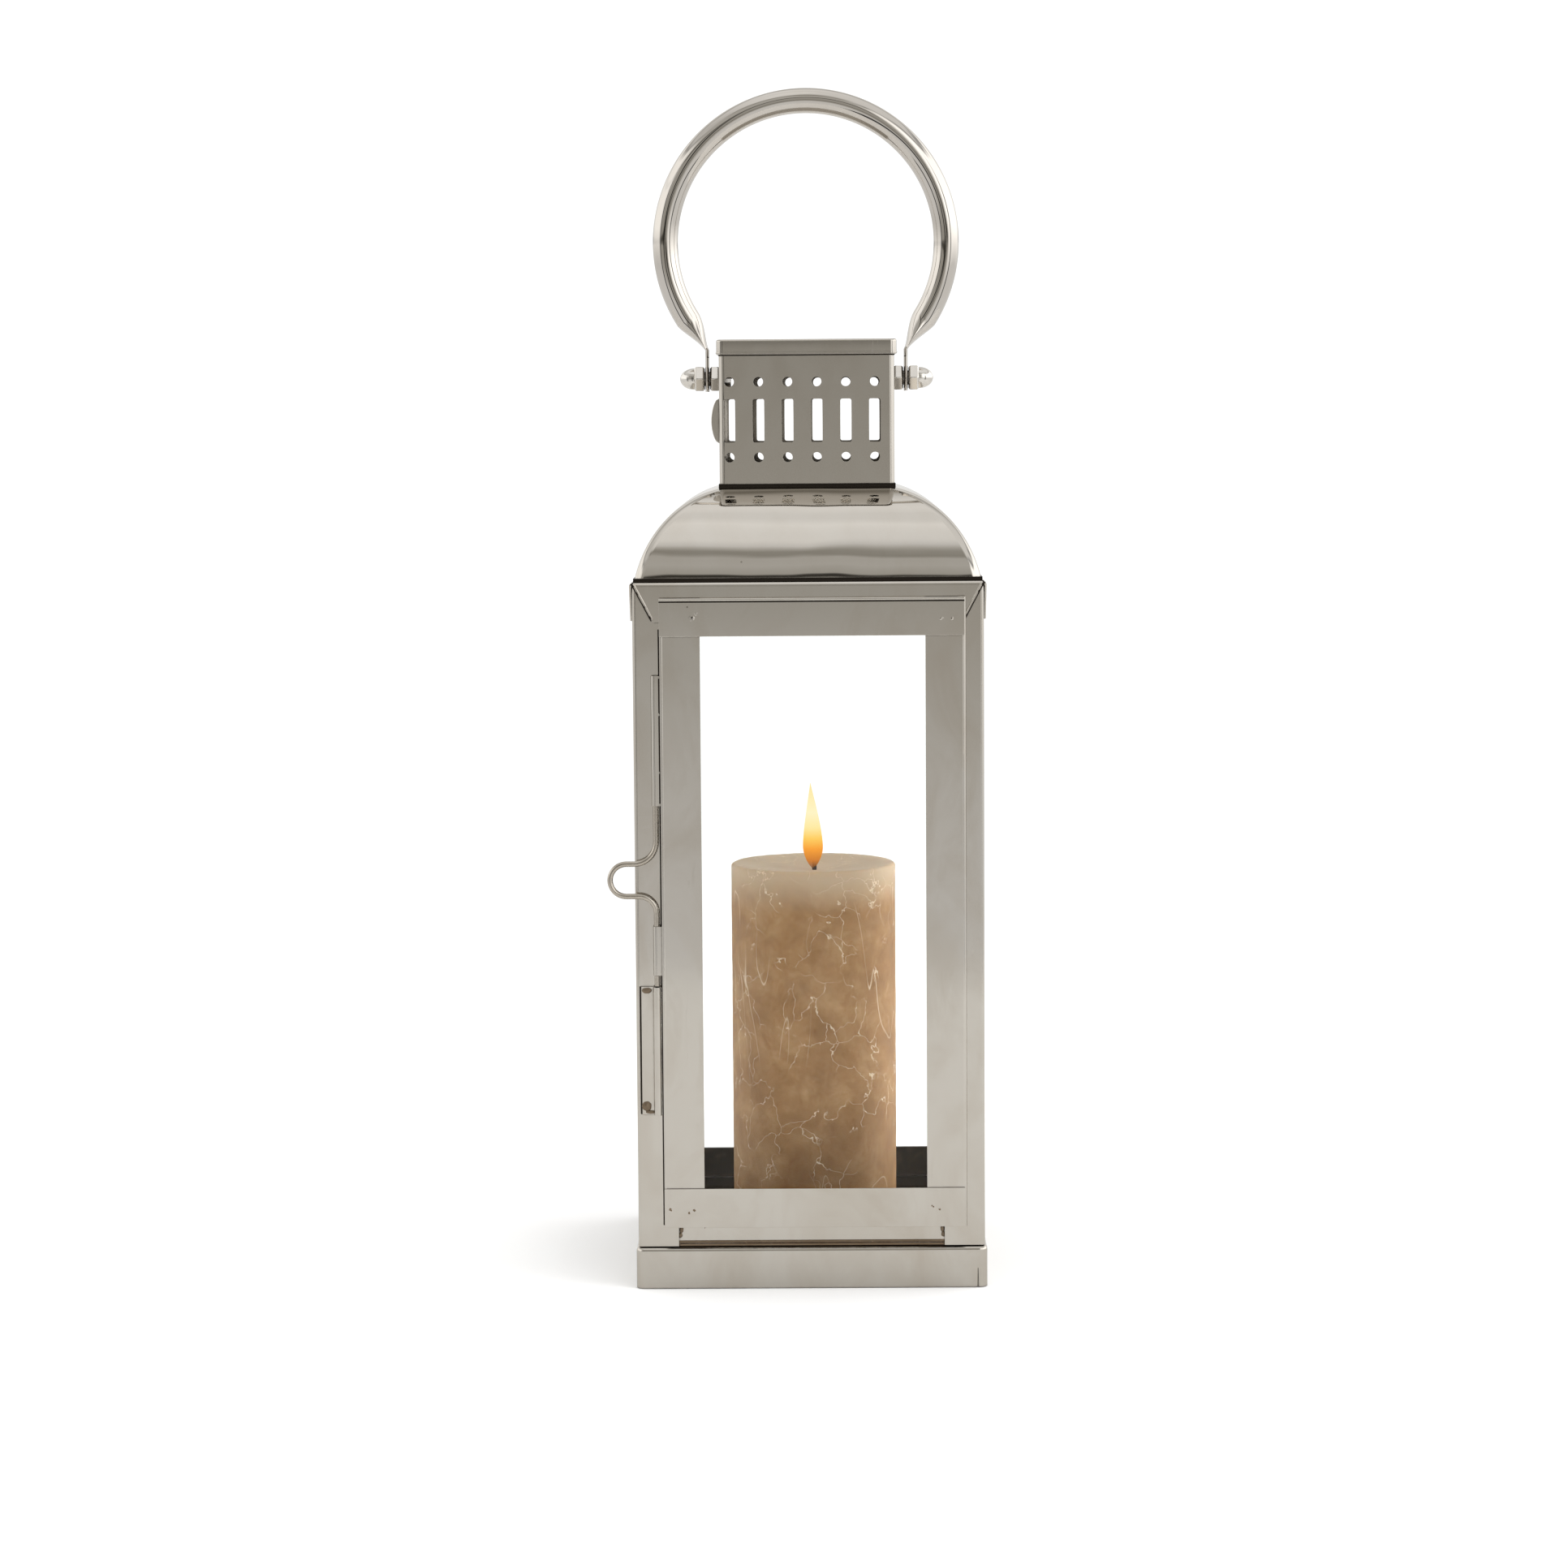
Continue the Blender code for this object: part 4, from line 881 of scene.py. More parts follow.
# %% Roof
low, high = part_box("roof_dome")
EAVE, EAVE_Z, CROWN_Z = high.x, low.z, high.z
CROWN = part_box("chimney")[1].x
ROOF_STEPS, CROWN_LIP = 36, 5 * MM
FIRST, LAST = math.radians(12), math.radians(78)
roof = blank("domed_roof", (-EAVE, -EAVE, EAVE_Z), (EAVE, EAVE, EAVE_Z))
pick(roof, "FACE", lambda p, n: True)
bpy.ops.mesh.delete(type="ONLY_FACE")
bpy.ops.mesh.select_mode(type="EDGE")
bpy.ops.mesh.select_all(action="SELECT")
at, size = EAVE_Z, EAVE
for step in range(1, ROOF_STEPS + 1):
    a = FIRST + (LAST - FIRST) * step / ROOF_STEPS
    rise = (math.sin(a) - math.sin(FIRST)) / (math.sin(LAST) - math.sin(FIRST))
    inward = (math.cos(a) - math.cos(LAST)) / (math.cos(FIRST) - math.cos(LAST))
    new_at, new_size = EAVE_Z + (CROWN_Z - EAVE_Z) * rise, CROWN + (EAVE - CROWN) * inward
    pull(z=new_at - at)
    grow((0, 0, new_at), (new_size / size, new_size / size, 1))
    at, size = new_at, new_size
pull()
lip = 1 - CROWN_LIP / CROWN
grow((0, 0, CROWN_Z), (lip, lip, 1))


def on_hip(p, way):
    diagonal = near(abs(p.x), abs(p.y), 0.01 * MM) and near(abs(way.x), abs(way.y), 0.01)
    return diagonal and abs(p.x) > CROWN * 0.99


pick(roof, "EDGE", on_hip)
round_off(3.6 * MM, 8)
done_closed(roof)
walled(roof, SHEET)
edged(roof, 0.2 * MM, 3, 50)
hang(roof, "frame", "steel", ROOF, "roof_dome")
print("roof", len(roof.data.polygons), "faces")

# %% [markdown]
# The chimney is a box without ends, punched with two rows of round holes and a row of slots on each side.
# The punches are made once per side as one joined cutter, and a Boolean modifier cuts them. Punching pulls
# the sheet in a little round each hole, so the rims get a small rounded edge, which shows as a bright ring.

# %% Chimney and its vents
low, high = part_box("chimney")
CHIMNEY_HALF, FOOT, MOUTH = high.x, low.z, high.z
COLUMNS, PITCH = 6, 11.95 * MM
VENT_ROWS = {"low": 11.8 * MM, "high": 42.7 * MM}
SLOT_MIDDLE, SLOT_TALL, SLOT_HALF, SLOT_CORNER, HOLE_R = 26.8 * MM, 17.8 * MM, 2.4 * MM, 0.9 * MM, 2.0 * MM
SHIFTS = {"front": -1.9 * MM, "right": 0.0, "rear": 1.2 * MM, "left": 0.0}
stack = slab("vented_chimney", (-CHIMNEY_HALF, -CHIMNEY_HALF, FOOT), (CHIMNEY_HALF, CHIMNEY_HALF, MOUTH))
pick(stack, "FACE", lambda p, n: abs(n.z) > 0.9)
bpy.ops.mesh.delete(type="FACE")
pick(stack, "EDGE", lambda p, way: abs(way.z) > 0.9)
round_off(2.2 * MM, 7)
done(stack)
walled(stack, SHEET)


def punch(name, across, height, tall):
    """A round punch, stretched into a round-cornered slot where it is taller than it is wide."""
    radius = SLOT_CORNER if tall else HOLE_R
    start = (across, -CHIMNEY_HALF - 2 * MM, FOOT + height)
    tool = ring(name, start, radius, 24, "NGON", (math.pi / 2, 0, 0))
    if tall:
        wide, high = SLOT_HALF - radius, tall / 2 - radius
        for sign, axis, reach in ((1, 0, wide), (-1, 0, wide), (1, 2, high), (-1, 2, high)):
            middle = across if axis == 0 else FOOT + height
            pick(tool, "VERT", lambda p, n: (p[axis] - middle) * sign > 0.01 * MM)
            bpy.ops.transform.translate(value=[sign * reach if i == axis else 0 for i in range(3)])
    pick(tool, "FACE", lambda p, n: True)
    pull(y=4 * MM)
    return done_closed(tool)


for quarters, side in enumerate(SIDES):
    tools = []
    for i in range(COLUMNS):
        across = (i - (COLUMNS - 1) / 2) * PITCH + SHIFTS[side]
        for row, height in VENT_ROWS.items():
            if side in ("front", "rear") or row == "low" or abs(across) > PITCH:
                tools.append(punch(f"punch_{i}_{row}", across, height, 0))
        tools.append(punch(f"punch_{i}_slot", across, SLOT_MIDDLE, SLOT_TALL))
    tools = joined("punches", *tools)
    turned = turned_about_z(tools, "turned_punches", quarters)
    modify(stack, "BOOLEAN", operation="DIFFERENCE", object=turned, solver="EXACT")
    discard(tools, turned)
edged(stack, 0.3 * MM, 3, 50)
hang(stack, "frame", "steel", CHIMNEY, "chimney")
print("chimney", len(stack.data.polygons), "faces")

# %% [markdown]
# One slug of metal stayed attached at both ends when the left wall was punched, and bows outwards like a
# louvre. It is a narrow face, extruded up in short steps that move out and back again along a flattened
# half wave, and then rounded along its edges.

# %% Bowed tongue
TONGUE_REACH, TONGUE_RISE, TONGUE_HALF = 9.2 * MM, 3.3 * MM, 2.1 * MM
column = -(COLUMNS - 1) / 2 * PITCH
middle = FOOT + SLOT_MIDDLE
wave = [math.sin(math.pi * i / 24) ** 0.45 for i in range(25)]
tongue = blank("bowed_tongue", (-CHIMNEY_HALF, column - TONGUE_HALF, middle - TONGUE_REACH),
               (0.5 * MM - CHIMNEY_HALF, column + TONGUE_HALF, middle - TONGUE_REACH))
hold(tongue)
bpy.ops.object.mode_set(mode="EDIT")
for before, after in zip(wave, wave[1:]):
    top = max(v.co.z for v in bmesh.from_edit_mesh(tongue.data).verts)
    pick(tongue, "FACE", lambda p, n: near(p.z, top))
    pull(z=TONGUE_REACH / 12)
    pick(tongue, "VERT", lambda p, n: near(p.z, top + TONGUE_REACH / 12) and p.x < 0.2 * MM - CHIMNEY_HALF)
    bpy.ops.transform.translate(value=(-(after - before) * TONGUE_RISE, 0, 0))
done_closed(tongue)
edged(tongue, 0.9 * MM, 5, 50)
hang(tongue, "frame", "steel", CHIMNEY)
print("tongue bows", round(TONGUE_RISE / MM, 1), "mm")

# %% [markdown]
# The cap is a shallow lid: a block with rounded corners and a rounded top edge, opened from below. Its
# lower edge has a rolled hem, a square of edges with rounded corners that is pulled up and given its own
# thickness.

# %% Cap
low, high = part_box("chimney_cap")
LID_CORNER, HEM_TALL = 2.8 * MM, 0.5 * MM
cap = slab("chimney_lid", low, high)
pick(cap, "EDGE", lambda p, way: abs(way.z) > 0.9)
round_off(LID_CORNER, 7)
pick(cap, "FACE", lambda p, n: n.z < -0.9)
bpy.ops.mesh.delete(type="FACE")
pick(cap, "EDGE", lambda p, way: near(p.z, high.z) and abs(way.z) < 0.1)
round_off(0.9 * MM, 4)
done(cap)
walled(cap, 0.7 * MM)
edged(cap, 0.12 * MM, 2, 50)
hem = ring("lid_hem", (0, 0, low.z + 0.45 * MM), high.x * math.sqrt(2), 4, turn=(0, 0, math.pi / 4))
pick(hem, "VERT", lambda p, n: True)
bpy.ops.mesh.bevel(offset=LID_CORNER, segments=7, affect="VERTICES")
bpy.ops.mesh.select_all(action="SELECT")
pull(z=HEM_TALL)
done(hem)
modify(hem, "SOLIDIFY", thickness=0.5 * MM, offset=0)
edged(hem, 0.22 * MM, 3, 50)
cap = joined("chimney_lid", cap, hem)
hang(cap, "frame", "steel", CHIMNEY, "chimney_cap")
print("lid", len(cap.data.polygons), "faces")

# %% [markdown]
# The bail handle is a steel tube bent into most of a circle, with its ends pressed flat and bolted to the
# chimney. Half of it is made: a ring of edges is spun round the centre of the circle, then extruded in
# steps that press it thinner in one direction and wider in the other, like the vice that flattened it. A
# mirror makes the other half.

# %% Handle
low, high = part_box("handle")
PIVOT_Z = low.z + 5.5 * MM
RING_R, TUBE_R, RING_RISE, END_RISE = 58.65 * MM, 5.25 * MM, 56.3 * MM, 24.7 * MM
RING_Z = PIVOT_Z + RING_RISE
STRAP_X = (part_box("lock_nut_right")[1].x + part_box("cap_nut_right")[0].x) / 2
END_ANGLE = math.asin((RING_RISE - END_RISE) / RING_R)
handle = ring("bail_handle", (0, 0, RING_Z + RING_R), TUBE_R, 40, turn=(0, math.pi / 2, 0))
pick(handle, "EDGE", lambda p, way: True)
bpy.ops.mesh.spin(steps=64, angle=-math.pi / 2 - END_ANGLE, center=(0, 0, RING_Z), axis=(0, 1, 0))
bm = bmesh.from_edit_mesh(handle.data)
spun_to = sum((v.co for v in bm.verts if v.select), Vector()) / sum(v.select for v in bm.verts)
print("the spun end is at", [round(c / MM, 1) for c in spun_to], "mm")
at = spun_to.copy()
# each step: how far to the strap's bend, the half thickness and the half width
PRESS = ((0.06, 5.15, 5.25), (0.16, 4.85, 5.5), (0.28, 4.35, 5.8), (0.42, 3.6, 6.3), (0.56, 2.8, 6.7),
         (0.70, 2.0, 7.0), (0.82, 1.4, 7.2), (0.92, 1.0, 7.3), (1.0, 0.86, 7.35))
# each step down the strap: the height over the pivot, and the share of its full width
STRAP_HALF_WIDTH = 7.35 * MM
STRAP = ((8.6, 1.0), (4.0, 1.0), (0.0, 1.0), (-3.2, 0.92), (-4.8, 0.72), (-5.45, 0.42))
bend_at = Vector((STRAP_X, 0, PIVOT_Z + 11.9 * MM))
thick, wide = TUBE_R, TUBE_R
TURN_TO_UPRIGHT = END_ANGLE / len(PRESS)
for share, new_thick, new_wide in PRESS:
    new_at = spun_to.lerp(bend_at, share)
    pull(*(new_at - at))
    bpy.ops.transform.rotate(value=TURN_TO_UPRIGHT, orient_axis="Y", center_override=new_at)
    grow(new_at, (new_thick * MM / thick, new_wide * MM / wide, new_thick * MM / thick))
    at, thick, wide = new_at, new_thick * MM, new_wide * MM
ends = [v.co.z for v in bmesh.from_edit_mesh(handle.data).verts if v.select]
print("the pressed end is level to", round((max(ends) - min(ends)) / MM, 2), "mm")
for rise, share in STRAP:
    new_at, new_wide = Vector((STRAP_X, 0, PIVOT_Z + rise * MM)), share * STRAP_HALF_WIDTH
    pull(*(new_at - at))
    grow(new_at, (1, new_wide / wide, 1))
    at, wide = new_at, new_wide
bpy.ops.mesh.edge_face_add()
done_closed(handle)
modify(handle, "MIRROR", use_axis=(True, False, False), use_clip=True, merge_threshold=0.01 * MM)
hold(handle)
bpy.ops.object.shade_smooth_by_angle(angle=math.radians(50))
hang(handle, "handle", "steel", TUBE, "handle")
print("handle spans", [span(handle, axis) for axis in range(3)], "mm")

# %% [markdown]
# Each pivot is a screw from inside the chimney, a lock nut against the wall, and a domed cap nut outside
# the handle. A nut is a six-sided cylinder with its corners turned off. The dome of the cap nut grows from
# a circle in rings that follow a rounded, slightly pointed profile.

# %% Nuts on the pivots
def grown(name, centre, sides, profile, aside=lambda height: 0.0):
    """A turned piece on +Z: circles from the foot up, each a radius and a height. It may lean along X."""
    radius, height = profile[0]
    piece = ring(name, Vector(centre) + Vector((aside(height), 0, height)), radius, sides, "NGON")
    pick(piece, "FACE", lambda p, n: True)
    for (r0, h0), (r1, h1) in zip(profile, profile[1:]):
        pull(x=aside(h1) - aside(h0), z=h1 - h0)
        grow((centre[0] + aside(h1), centre[1], centre[2] + h1), (r1 / r0, r1 / r0, 1))
    return done_closed(piece)


def hexagon(name, across_flats, profile):
    """A six-sided bar; the profile gives its shrink at each height, for the turned-off corners."""
    corner = across_flats / math.sqrt(3)
    return grown(name, (0, 0, 0), 6, [(corner * shrink, height) for shrink, height in profile])


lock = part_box("lock_nut_right")
cap_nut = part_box("cap_nut_right")
deep = lock[1].x - lock[0].x
ACROSS_FLATS, TURNED_OFF, HEX_DEEP = 10 * MM, 0.55 * MM, 4.4 * MM
nut_sides = hexagon("nut", ACROSS_FLATS,
                    ((0.86, 0), (1.0, TURNED_OFF), (1.0, deep - TURNED_OFF), (0.86, deep)))
edged(nut_sides, 0.3 * MM, 3, 20)
cap_sides = hexagon("cap_nut", ACROSS_FLATS,
                    ((0.86, 0), (1.0, TURNED_OFF), (1.0, HEX_DEEP - 0.7 * MM), (0.82, HEX_DEEP)))
edged(cap_sides, 0.3 * MM, 3, 20)
DOME_R, DOME_STEPS, SUNK = 4.5 * MM, 14, 0.3 * MM
dome_tall = cap_nut[1].x - cap_nut[0].x - HEX_DEEP
turns = [math.pi / 2 * i / DOME_STEPS for i in range(DOME_STEPS)]
dome_line = [(DOME_R * math.cos(a), HEX_DEEP - SUNK + (dome_tall + SUNK) * math.sin(a) ** 0.92)
             for a in turns]
dome_line.append((0.25 * MM, HEX_DEEP + dome_tall))
dome = grown("nut_dome", (0, 0, 0), 40, dome_line)
edged(dome, 0.08 * MM, 2, 60)
cap_piece = joined("cap_nut", cap_sides, dome)
for hand, end in ((1, "right"), (-1, "left")):
    for source, name, node, foot in ((nut_sides, "hex_lock_nut", "lock_nut", lock[0].x),
                                     (cap_piece, "domed_nut", "cap_nut", cap_nut[0].x)):
        nut = twin(source, f"{name}_{end}")
        nut.rotation_euler = (0, hand * math.pi / 2, 0)
        nut.location = (hand * foot, 0, PIVOT_Z)
        bpy.ops.object.transform_apply(location=True, rotation=True, scale=True)
        hang(nut, "frame", "fasteners", BRIGHT, f"{node}_{end}")
discard(nut_sides, cap_piece)
print("nuts", MADE[-4:])

# %% [markdown]
# The door is two upright stiles with a rail across each end, spot welded. Its left stile and its top rail
# have a rolled bead along the edge, and its right stile is rolled round the hinge rod. A roll is a flat
# blank whose edge is spun round the rod's axis.

# %% Door frame
def roll(obj, edge_test, centre, degrees, steps=20):
    """Rolls a sheet's edge round an upright axis."""
    pick(obj, "EDGE", edge_test)
    bpy.ops.mesh.spin(steps=steps, angle=math.radians(degrees), center=centre, axis=(0, 0, 1))


def rod(name, start, way, length, radius, sides=16):
    """A round bar with both ends closed, drawn along one axis."""
    turn = {"X": (0, math.pi / 2, 0), "Z": (0, 0, 0)}[way]
    bar = ring(name, start, radius, sides, "NGON", turn)
    pick(bar, "FACE", lambda p, n: True)
    pull(**{way.lower(): length})
    return done_closed(bar)


DOOR_SHEET, PROUD, RAIL_BEAD = 0.6 * MM, 0.2 * MM, 0.6 * MM
low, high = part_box("door_stile_left")
DOOR_MIDDLE = (low.z + high.z) / 2
stile = slab("left_stile", low, high)
bead_r = 0.75 * MM
bead_line = rod("stile_bead", (low.x + bead_r, low.y + bead_r - PROUD, low.z), "Z", high.z - low.z, bead_r)
edged(stile, 0.14 * MM)
edged(bead_line, 0.1 * MM, 2, 60)
hang(joined("beaded_stile_left", stile, bead_line), "door", "steel", STEEL, "door_stile_left")

low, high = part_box("door_stile_right")
ROLL_R = 1.6 * MM
hinge = (high.x - ROLL_R, low.y + ROLL_R)
stile = blank("right_stile", low, (hinge[0], low.y, high.z))
roll(stile, lambda p, way: near(p.x, hinge[0]) and abs(way.z) > 0.9, (*hinge, 0), -285)
done(stile)
walled(stile, DOOR_SHEET, -1)
edged(stile, 0.12 * MM, 2, 40)
hang(stile, "door", "steel", STEEL, "door_stile_right")
print("rolled stile, made and packed:", spans_beside(stile, low, high))

for end in ("top", "bottom"):
    low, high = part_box(f"door_rail_{end}")
    strip = slab(f"{end}_rail", (low.x, low.y + PROUD, low.z), high)
    edged(strip, 0.16 * MM)
    pieces = [strip]
    if end == "top":
        start = (low.x, low.y + RAIL_BEAD, high.z - RAIL_BEAD)
        line = rod("rail_bead", start, "X", high.x - low.x, RAIL_BEAD)
        pieces.append(edged(line, 0.1 * MM, 2, 60))
    hang(joined(f"door_strip_{end}", *pieces), "door", "steel", STEEL_ACROSS, f"door_rail_{end}")

# Spot welds are shallow dimples at the ends of the rails. Each is a place across, a height on the rail and a
# size, in millimetres.
WELD_SPOTS = {"top": ((-47, 7.6, 1.5), (-45, 9.2, 0.8), (53.8, 6.8, 0.9), (58.1, 6.6, 0.8)),
              "bottom": ((-57.6, 7.5, 0.8), (-49.9, 6.2, 0.55), (-47.9, 7.3, 0.6), (49.4, 8.6, 0.65),
                         (52.2, 7.3, 0.6))}
for end, spots in WELD_SPOTS.items():
    low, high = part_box(f"door_rail_{end}")
    dimples = []
    for k, (x, up, size) in enumerate(spots):
        dimples.append(bead(f"dimple_{end}_{k}", (x * MM, low.y + PROUD + 0.11 * MM, low.z + up * MM),
                            (size * MM, 0.16 * MM, size * MM)))
    hang(joined(f"spot_welds_{end}", *dimples), "door", "steel", WELD if end == "bottom" else STEEL_ACROSS)
print("door frame", MADE[-6:])

# %% [markdown]
# The slide bolt is one wire: straight down through the upper sleeve, out round a finger loop beside the
# body, and straight down again into a catch on the post. A wire is a ring of edges that is extruded along
# its straight runs and spun round its bends, so the ring always stays square to the line.

# %% Slide bolt
low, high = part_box("latch_bolt")
WIRE_R = 1.15 * MM
bolt_x, bolt_y = high.x - WIRE_R, (low.y + high.y) / 2
loop_z = DOOR_MIDDLE + 14.2 * MM
UPPER_FILLET, LOWER_FILLET, LOOP_R, LOOP_OUT = 9 * MM, 7 * MM, 6.6 * MM, 12.2 * MM
bolt = ring("slide_bolt", (bolt_x, bolt_y, high.z), WIRE_R, 18)


def bend(centre_x, centre_z, degrees, steps):
    bpy.ops.mesh.spin(steps=steps, angle=math.radians(degrees), center=(centre_x, bolt_y, centre_z),
                      axis=(0, 1, 0))


pick(bolt, "EDGE", lambda p, way: True)
top_bend, low_bend = loop_z + LOOP_R + UPPER_FILLET, loop_z - LOOP_R - LOWER_FILLET
pull(z=top_bend - high.z)
bend(bolt_x - UPPER_FILLET, top_bend, -90, 12)
pull(x=-(LOOP_OUT - UPPER_FILLET))
bend(bolt_x - LOOP_OUT, loop_z, 180, 28)
pull(x=LOOP_OUT - LOWER_FILLET)
bend(bolt_x - LOWER_FILLET, low_bend, -90, 12)
pull(z=low.z - low_bend)
bpy.ops.mesh.edge_face_add()
pick(bolt, "EDGE", lambda p, way: near(p.z, high.z) and abs(way.z) < 0.1)
bpy.ops.mesh.edge_face_add()
done_closed(bolt)
edged(bolt, 0.15 * MM, 2, 60)
hang(bolt, "latch_bolt", "wire", WIRE, "latch_bolt")
print("bolt, made and packed:", spans_beside(bolt, low, high))

# %% [markdown]
# The bolt runs in two sleeves of thin sheet, rolled round it and spot welded behind the stile, and drops
# into a catch that is rolled the same way and welded to the post. The upper sleeve was rolled by hand and
# is not quite straight, so it is cut across by the Bisect tool and a noise then moves it sideways a little.

# %% Sleeves and catch
def rolled_tube(name, node, wall, degrees, leaf_at_front):
    low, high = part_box(node)
    by_hand = node == "latch_sleeve_upper"
    if leaf_at_front:
        tube = blank(name, (bolt_x, low.y, low.z), (high.x, low.y, high.z))
    else:
        tube = blank(name, (low.x, high.y, low.z), (bolt_x, high.y, high.z))
    roll(tube, lambda p, way: near(p.x, bolt_x) and abs(way.z) > 0.9, (bolt_x, bolt_y, 0), degrees, 22)
    if by_hand:
        for k in range(1, 12):
            bpy.ops.mesh.select_all(action="SELECT")
            bpy.ops.mesh.bisect(plane_co=(0, 0, low.z + (high.z - low.z) * k / 12), plane_no=(0, 0, 1))
    done(tube)
    walled(tube, wall, -1 if leaf_at_front else 1)
    if by_hand:
        roughened(tube, "CLOUDS", 14 * MM, 0.28 * MM, 0.5, direction="X")
    edged(tube, 0.07 * MM, 2, 40)
    print(name, "made and packed:", spans_beside(tube, low, high))
    return tube


for end in ("upper", "lower"):
    hang(rolled_tube(f"rolled_sleeve_{end}", f"latch_sleeve_{end}", 0.3 * MM, 300, True), "door", "steel",
         STEEL, f"latch_sleeve_{end}")
catch = rolled_tube("rolled_catch", "latch_catch", 0.45 * MM, 300, False)
low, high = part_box("latch_catch")
hang(catch, "frame", "steel", STEEL, "latch_catch")
scar_places = ((low.x + 2.2 * MM, high.y - 0.5 * MM, high.z - 1.6 * MM),
               (low.x + 1.8 * MM, high.y - 0.5 * MM, low.z + 3.4 * MM),
               (low.x + 3.4 * MM, high.y - 0.4 * MM, low.z + 1.0 * MM))
SCAR_SIZES = ((2.0 * MM, 0.5 * MM, 1.2 * MM), (1.9 * MM, 0.6 * MM, 2.0 * MM), (2.2 * MM, 0.4 * MM, 0.7 * MM))
scars = [bead(f"scar_{k}", spot, size) for k, (spot, size) in enumerate(zip(scar_places, SCAR_SIZES))]
hang(joined("catch_welds", *scars), "frame", "steel", WELD)
print("latch pieces", MADE[-4:])

# %% [markdown]
# The hinge rod is a staple of wire inside the rolled stile. Its ends turn back through the corner post. It
# is drawn as the bolt was: straight runs and two spun bends.

# %% Hinge rod
low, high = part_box("hinge_rod")
rod_r = (high.x - low.x) / 2
rod_x, rod_y = (low.x + high.x) / 2, low.y + rod_r
BEND_R = 1.6 * MM
staple = ring("hinge_staple", (rod_x, high.y, low.z + rod_r), rod_r, 16, turn=(math.pi / 2, 0, 0))


def turn_up(centre_z):
    bpy.ops.mesh.spin(steps=8, angle=math.radians(90), center=(rod_x, rod_y + BEND_R, centre_z),
                      axis=(1, 0, 0))


pick(staple, "EDGE", lambda p, way: True)
pull(y=rod_y + BEND_R - high.y)
turn_up(low.z + rod_r + BEND_R)
pull(z=high.z - low.z - 2 * rod_r - 2 * BEND_R)
turn_up(high.z - rod_r - BEND_R)
pull(y=high.y - rod_y - BEND_R)
bpy.ops.mesh.edge_face_add()
pick(staple, "EDGE", lambda p, way: near(p.y, high.y) and p.z < low.z + 3 * rod_r)
bpy.ops.mesh.edge_face_add()
done_closed(staple)
edged(staple, 0.12 * MM, 2, 60)
hang(staple, "frame", "wire", WIRE, "hinge_rod")
print("hinge rod, made and packed:", spans_beside(staple, low, high))

# %% [markdown]
# Wherever two sheets meet, the joint lies in shade, and these dark lines are much of what makes the
# lantern look made by hand. Each line is a very thin dark strip laid in its joint: painted shade. Its outer
# edge wanders slightly, so that the line is never quite straight. A square line round the body is four such
# strips. Inside, a dark sheet on each rail is painted shade, and each front mitre of the header has a gap of
# painted shade with a thin bright lip beside it.

# %% Painted shade in the seams
SHADE_STEPS = 24


def shade_line(name, low, high, wander=0.12):
    """A strip of painted shade between two corners, cut across into short lengths so that its edge can
    wander.
    """
    strip = slab(name, low, high)
    longest = max(range(3), key=lambda i: high[i] - low[i])
    for k in range(1, SHADE_STEPS):
        at = [0, 0, 0]
        at[longest] = low[longest] + (high[longest] - low[longest]) * k / SHADE_STEPS
        bpy.ops.object.mode_set(mode="EDIT")
        bpy.ops.mesh.select_all(action="SELECT")
        bpy.ops.mesh.bisect(plane_co=at, plane_no=[1 if i == longest else 0 for i in range(3)])
        done(strip)
    return roughened(strip, "CLOUDS", 5 * MM, wander * MM, 0.9)


def shade_square(name, half, bottom, top, deep):
    """Four strips round a square of the given half width."""
    front = shade_line(name, (-half, -half, bottom), (half, -half + deep, top))
    pieces = [turned_about_z(front, f"{name}_{quarters}", quarters) for quarters in range(4)]
    discard(front)
    return joined(name, *pieces)


header_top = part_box("header_front")[1].z
header_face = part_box("header_front")[0].y
stile_low, stile_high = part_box("door_stile_left")
rail_low, rail_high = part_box("door_rail_top")
foot_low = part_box("door_rail_bottom")[0]
sleeve_low, sleeve_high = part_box("latch_sleeve_upper")
catch_low, catch_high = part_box("latch_catch")
post_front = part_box("corner_post_front_left")[0].y
lid_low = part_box("chimney_cap")[0].z
# Each strip is painted shade in a joint: under the eaves, at the chimney's foot, under the lid, beside the
# door and beside the catch.
body_lines = [
    shade_square("eave_shade", EAVE + 0.25 * MM, header_top, header_top + 1.5 * MM, 1.2 * MM),
    shade_square("chimney_foot_shade", CHIMNEY_HALF + 0.35 * MM, CROWN_Z - 0.5 * MM, CROWN_Z + 1.3 * MM,
                0.5 * MM),
    shade_square("lid_shade", CHIMNEY_HALF + 0.12 * MM, lid_low - 0.55 * MM, lid_low + 0.3 * MM, 0.2 * MM),
    shade_line("post_shade", (stile_low.x - 0.75 * MM, post_front - 0.05 * MM, stile_low.z),
              (stile_low.x + 0.3 * MM, post_front + 0.1 * MM, header_top - 19 * MM)),
    shade_line("catch_shade", (bolt_x - 7.4 * MM, catch_high.y - 0.1 * MM, catch_low.z),
              (bolt_x - 6.4 * MM, catch_high.y + 0.2 * MM, catch_high.z)),
]
hang(joined("seam_shade_body", *body_lines), "frame", "steel", SEAM_SHADE)
front = rail_low.y + PROUD
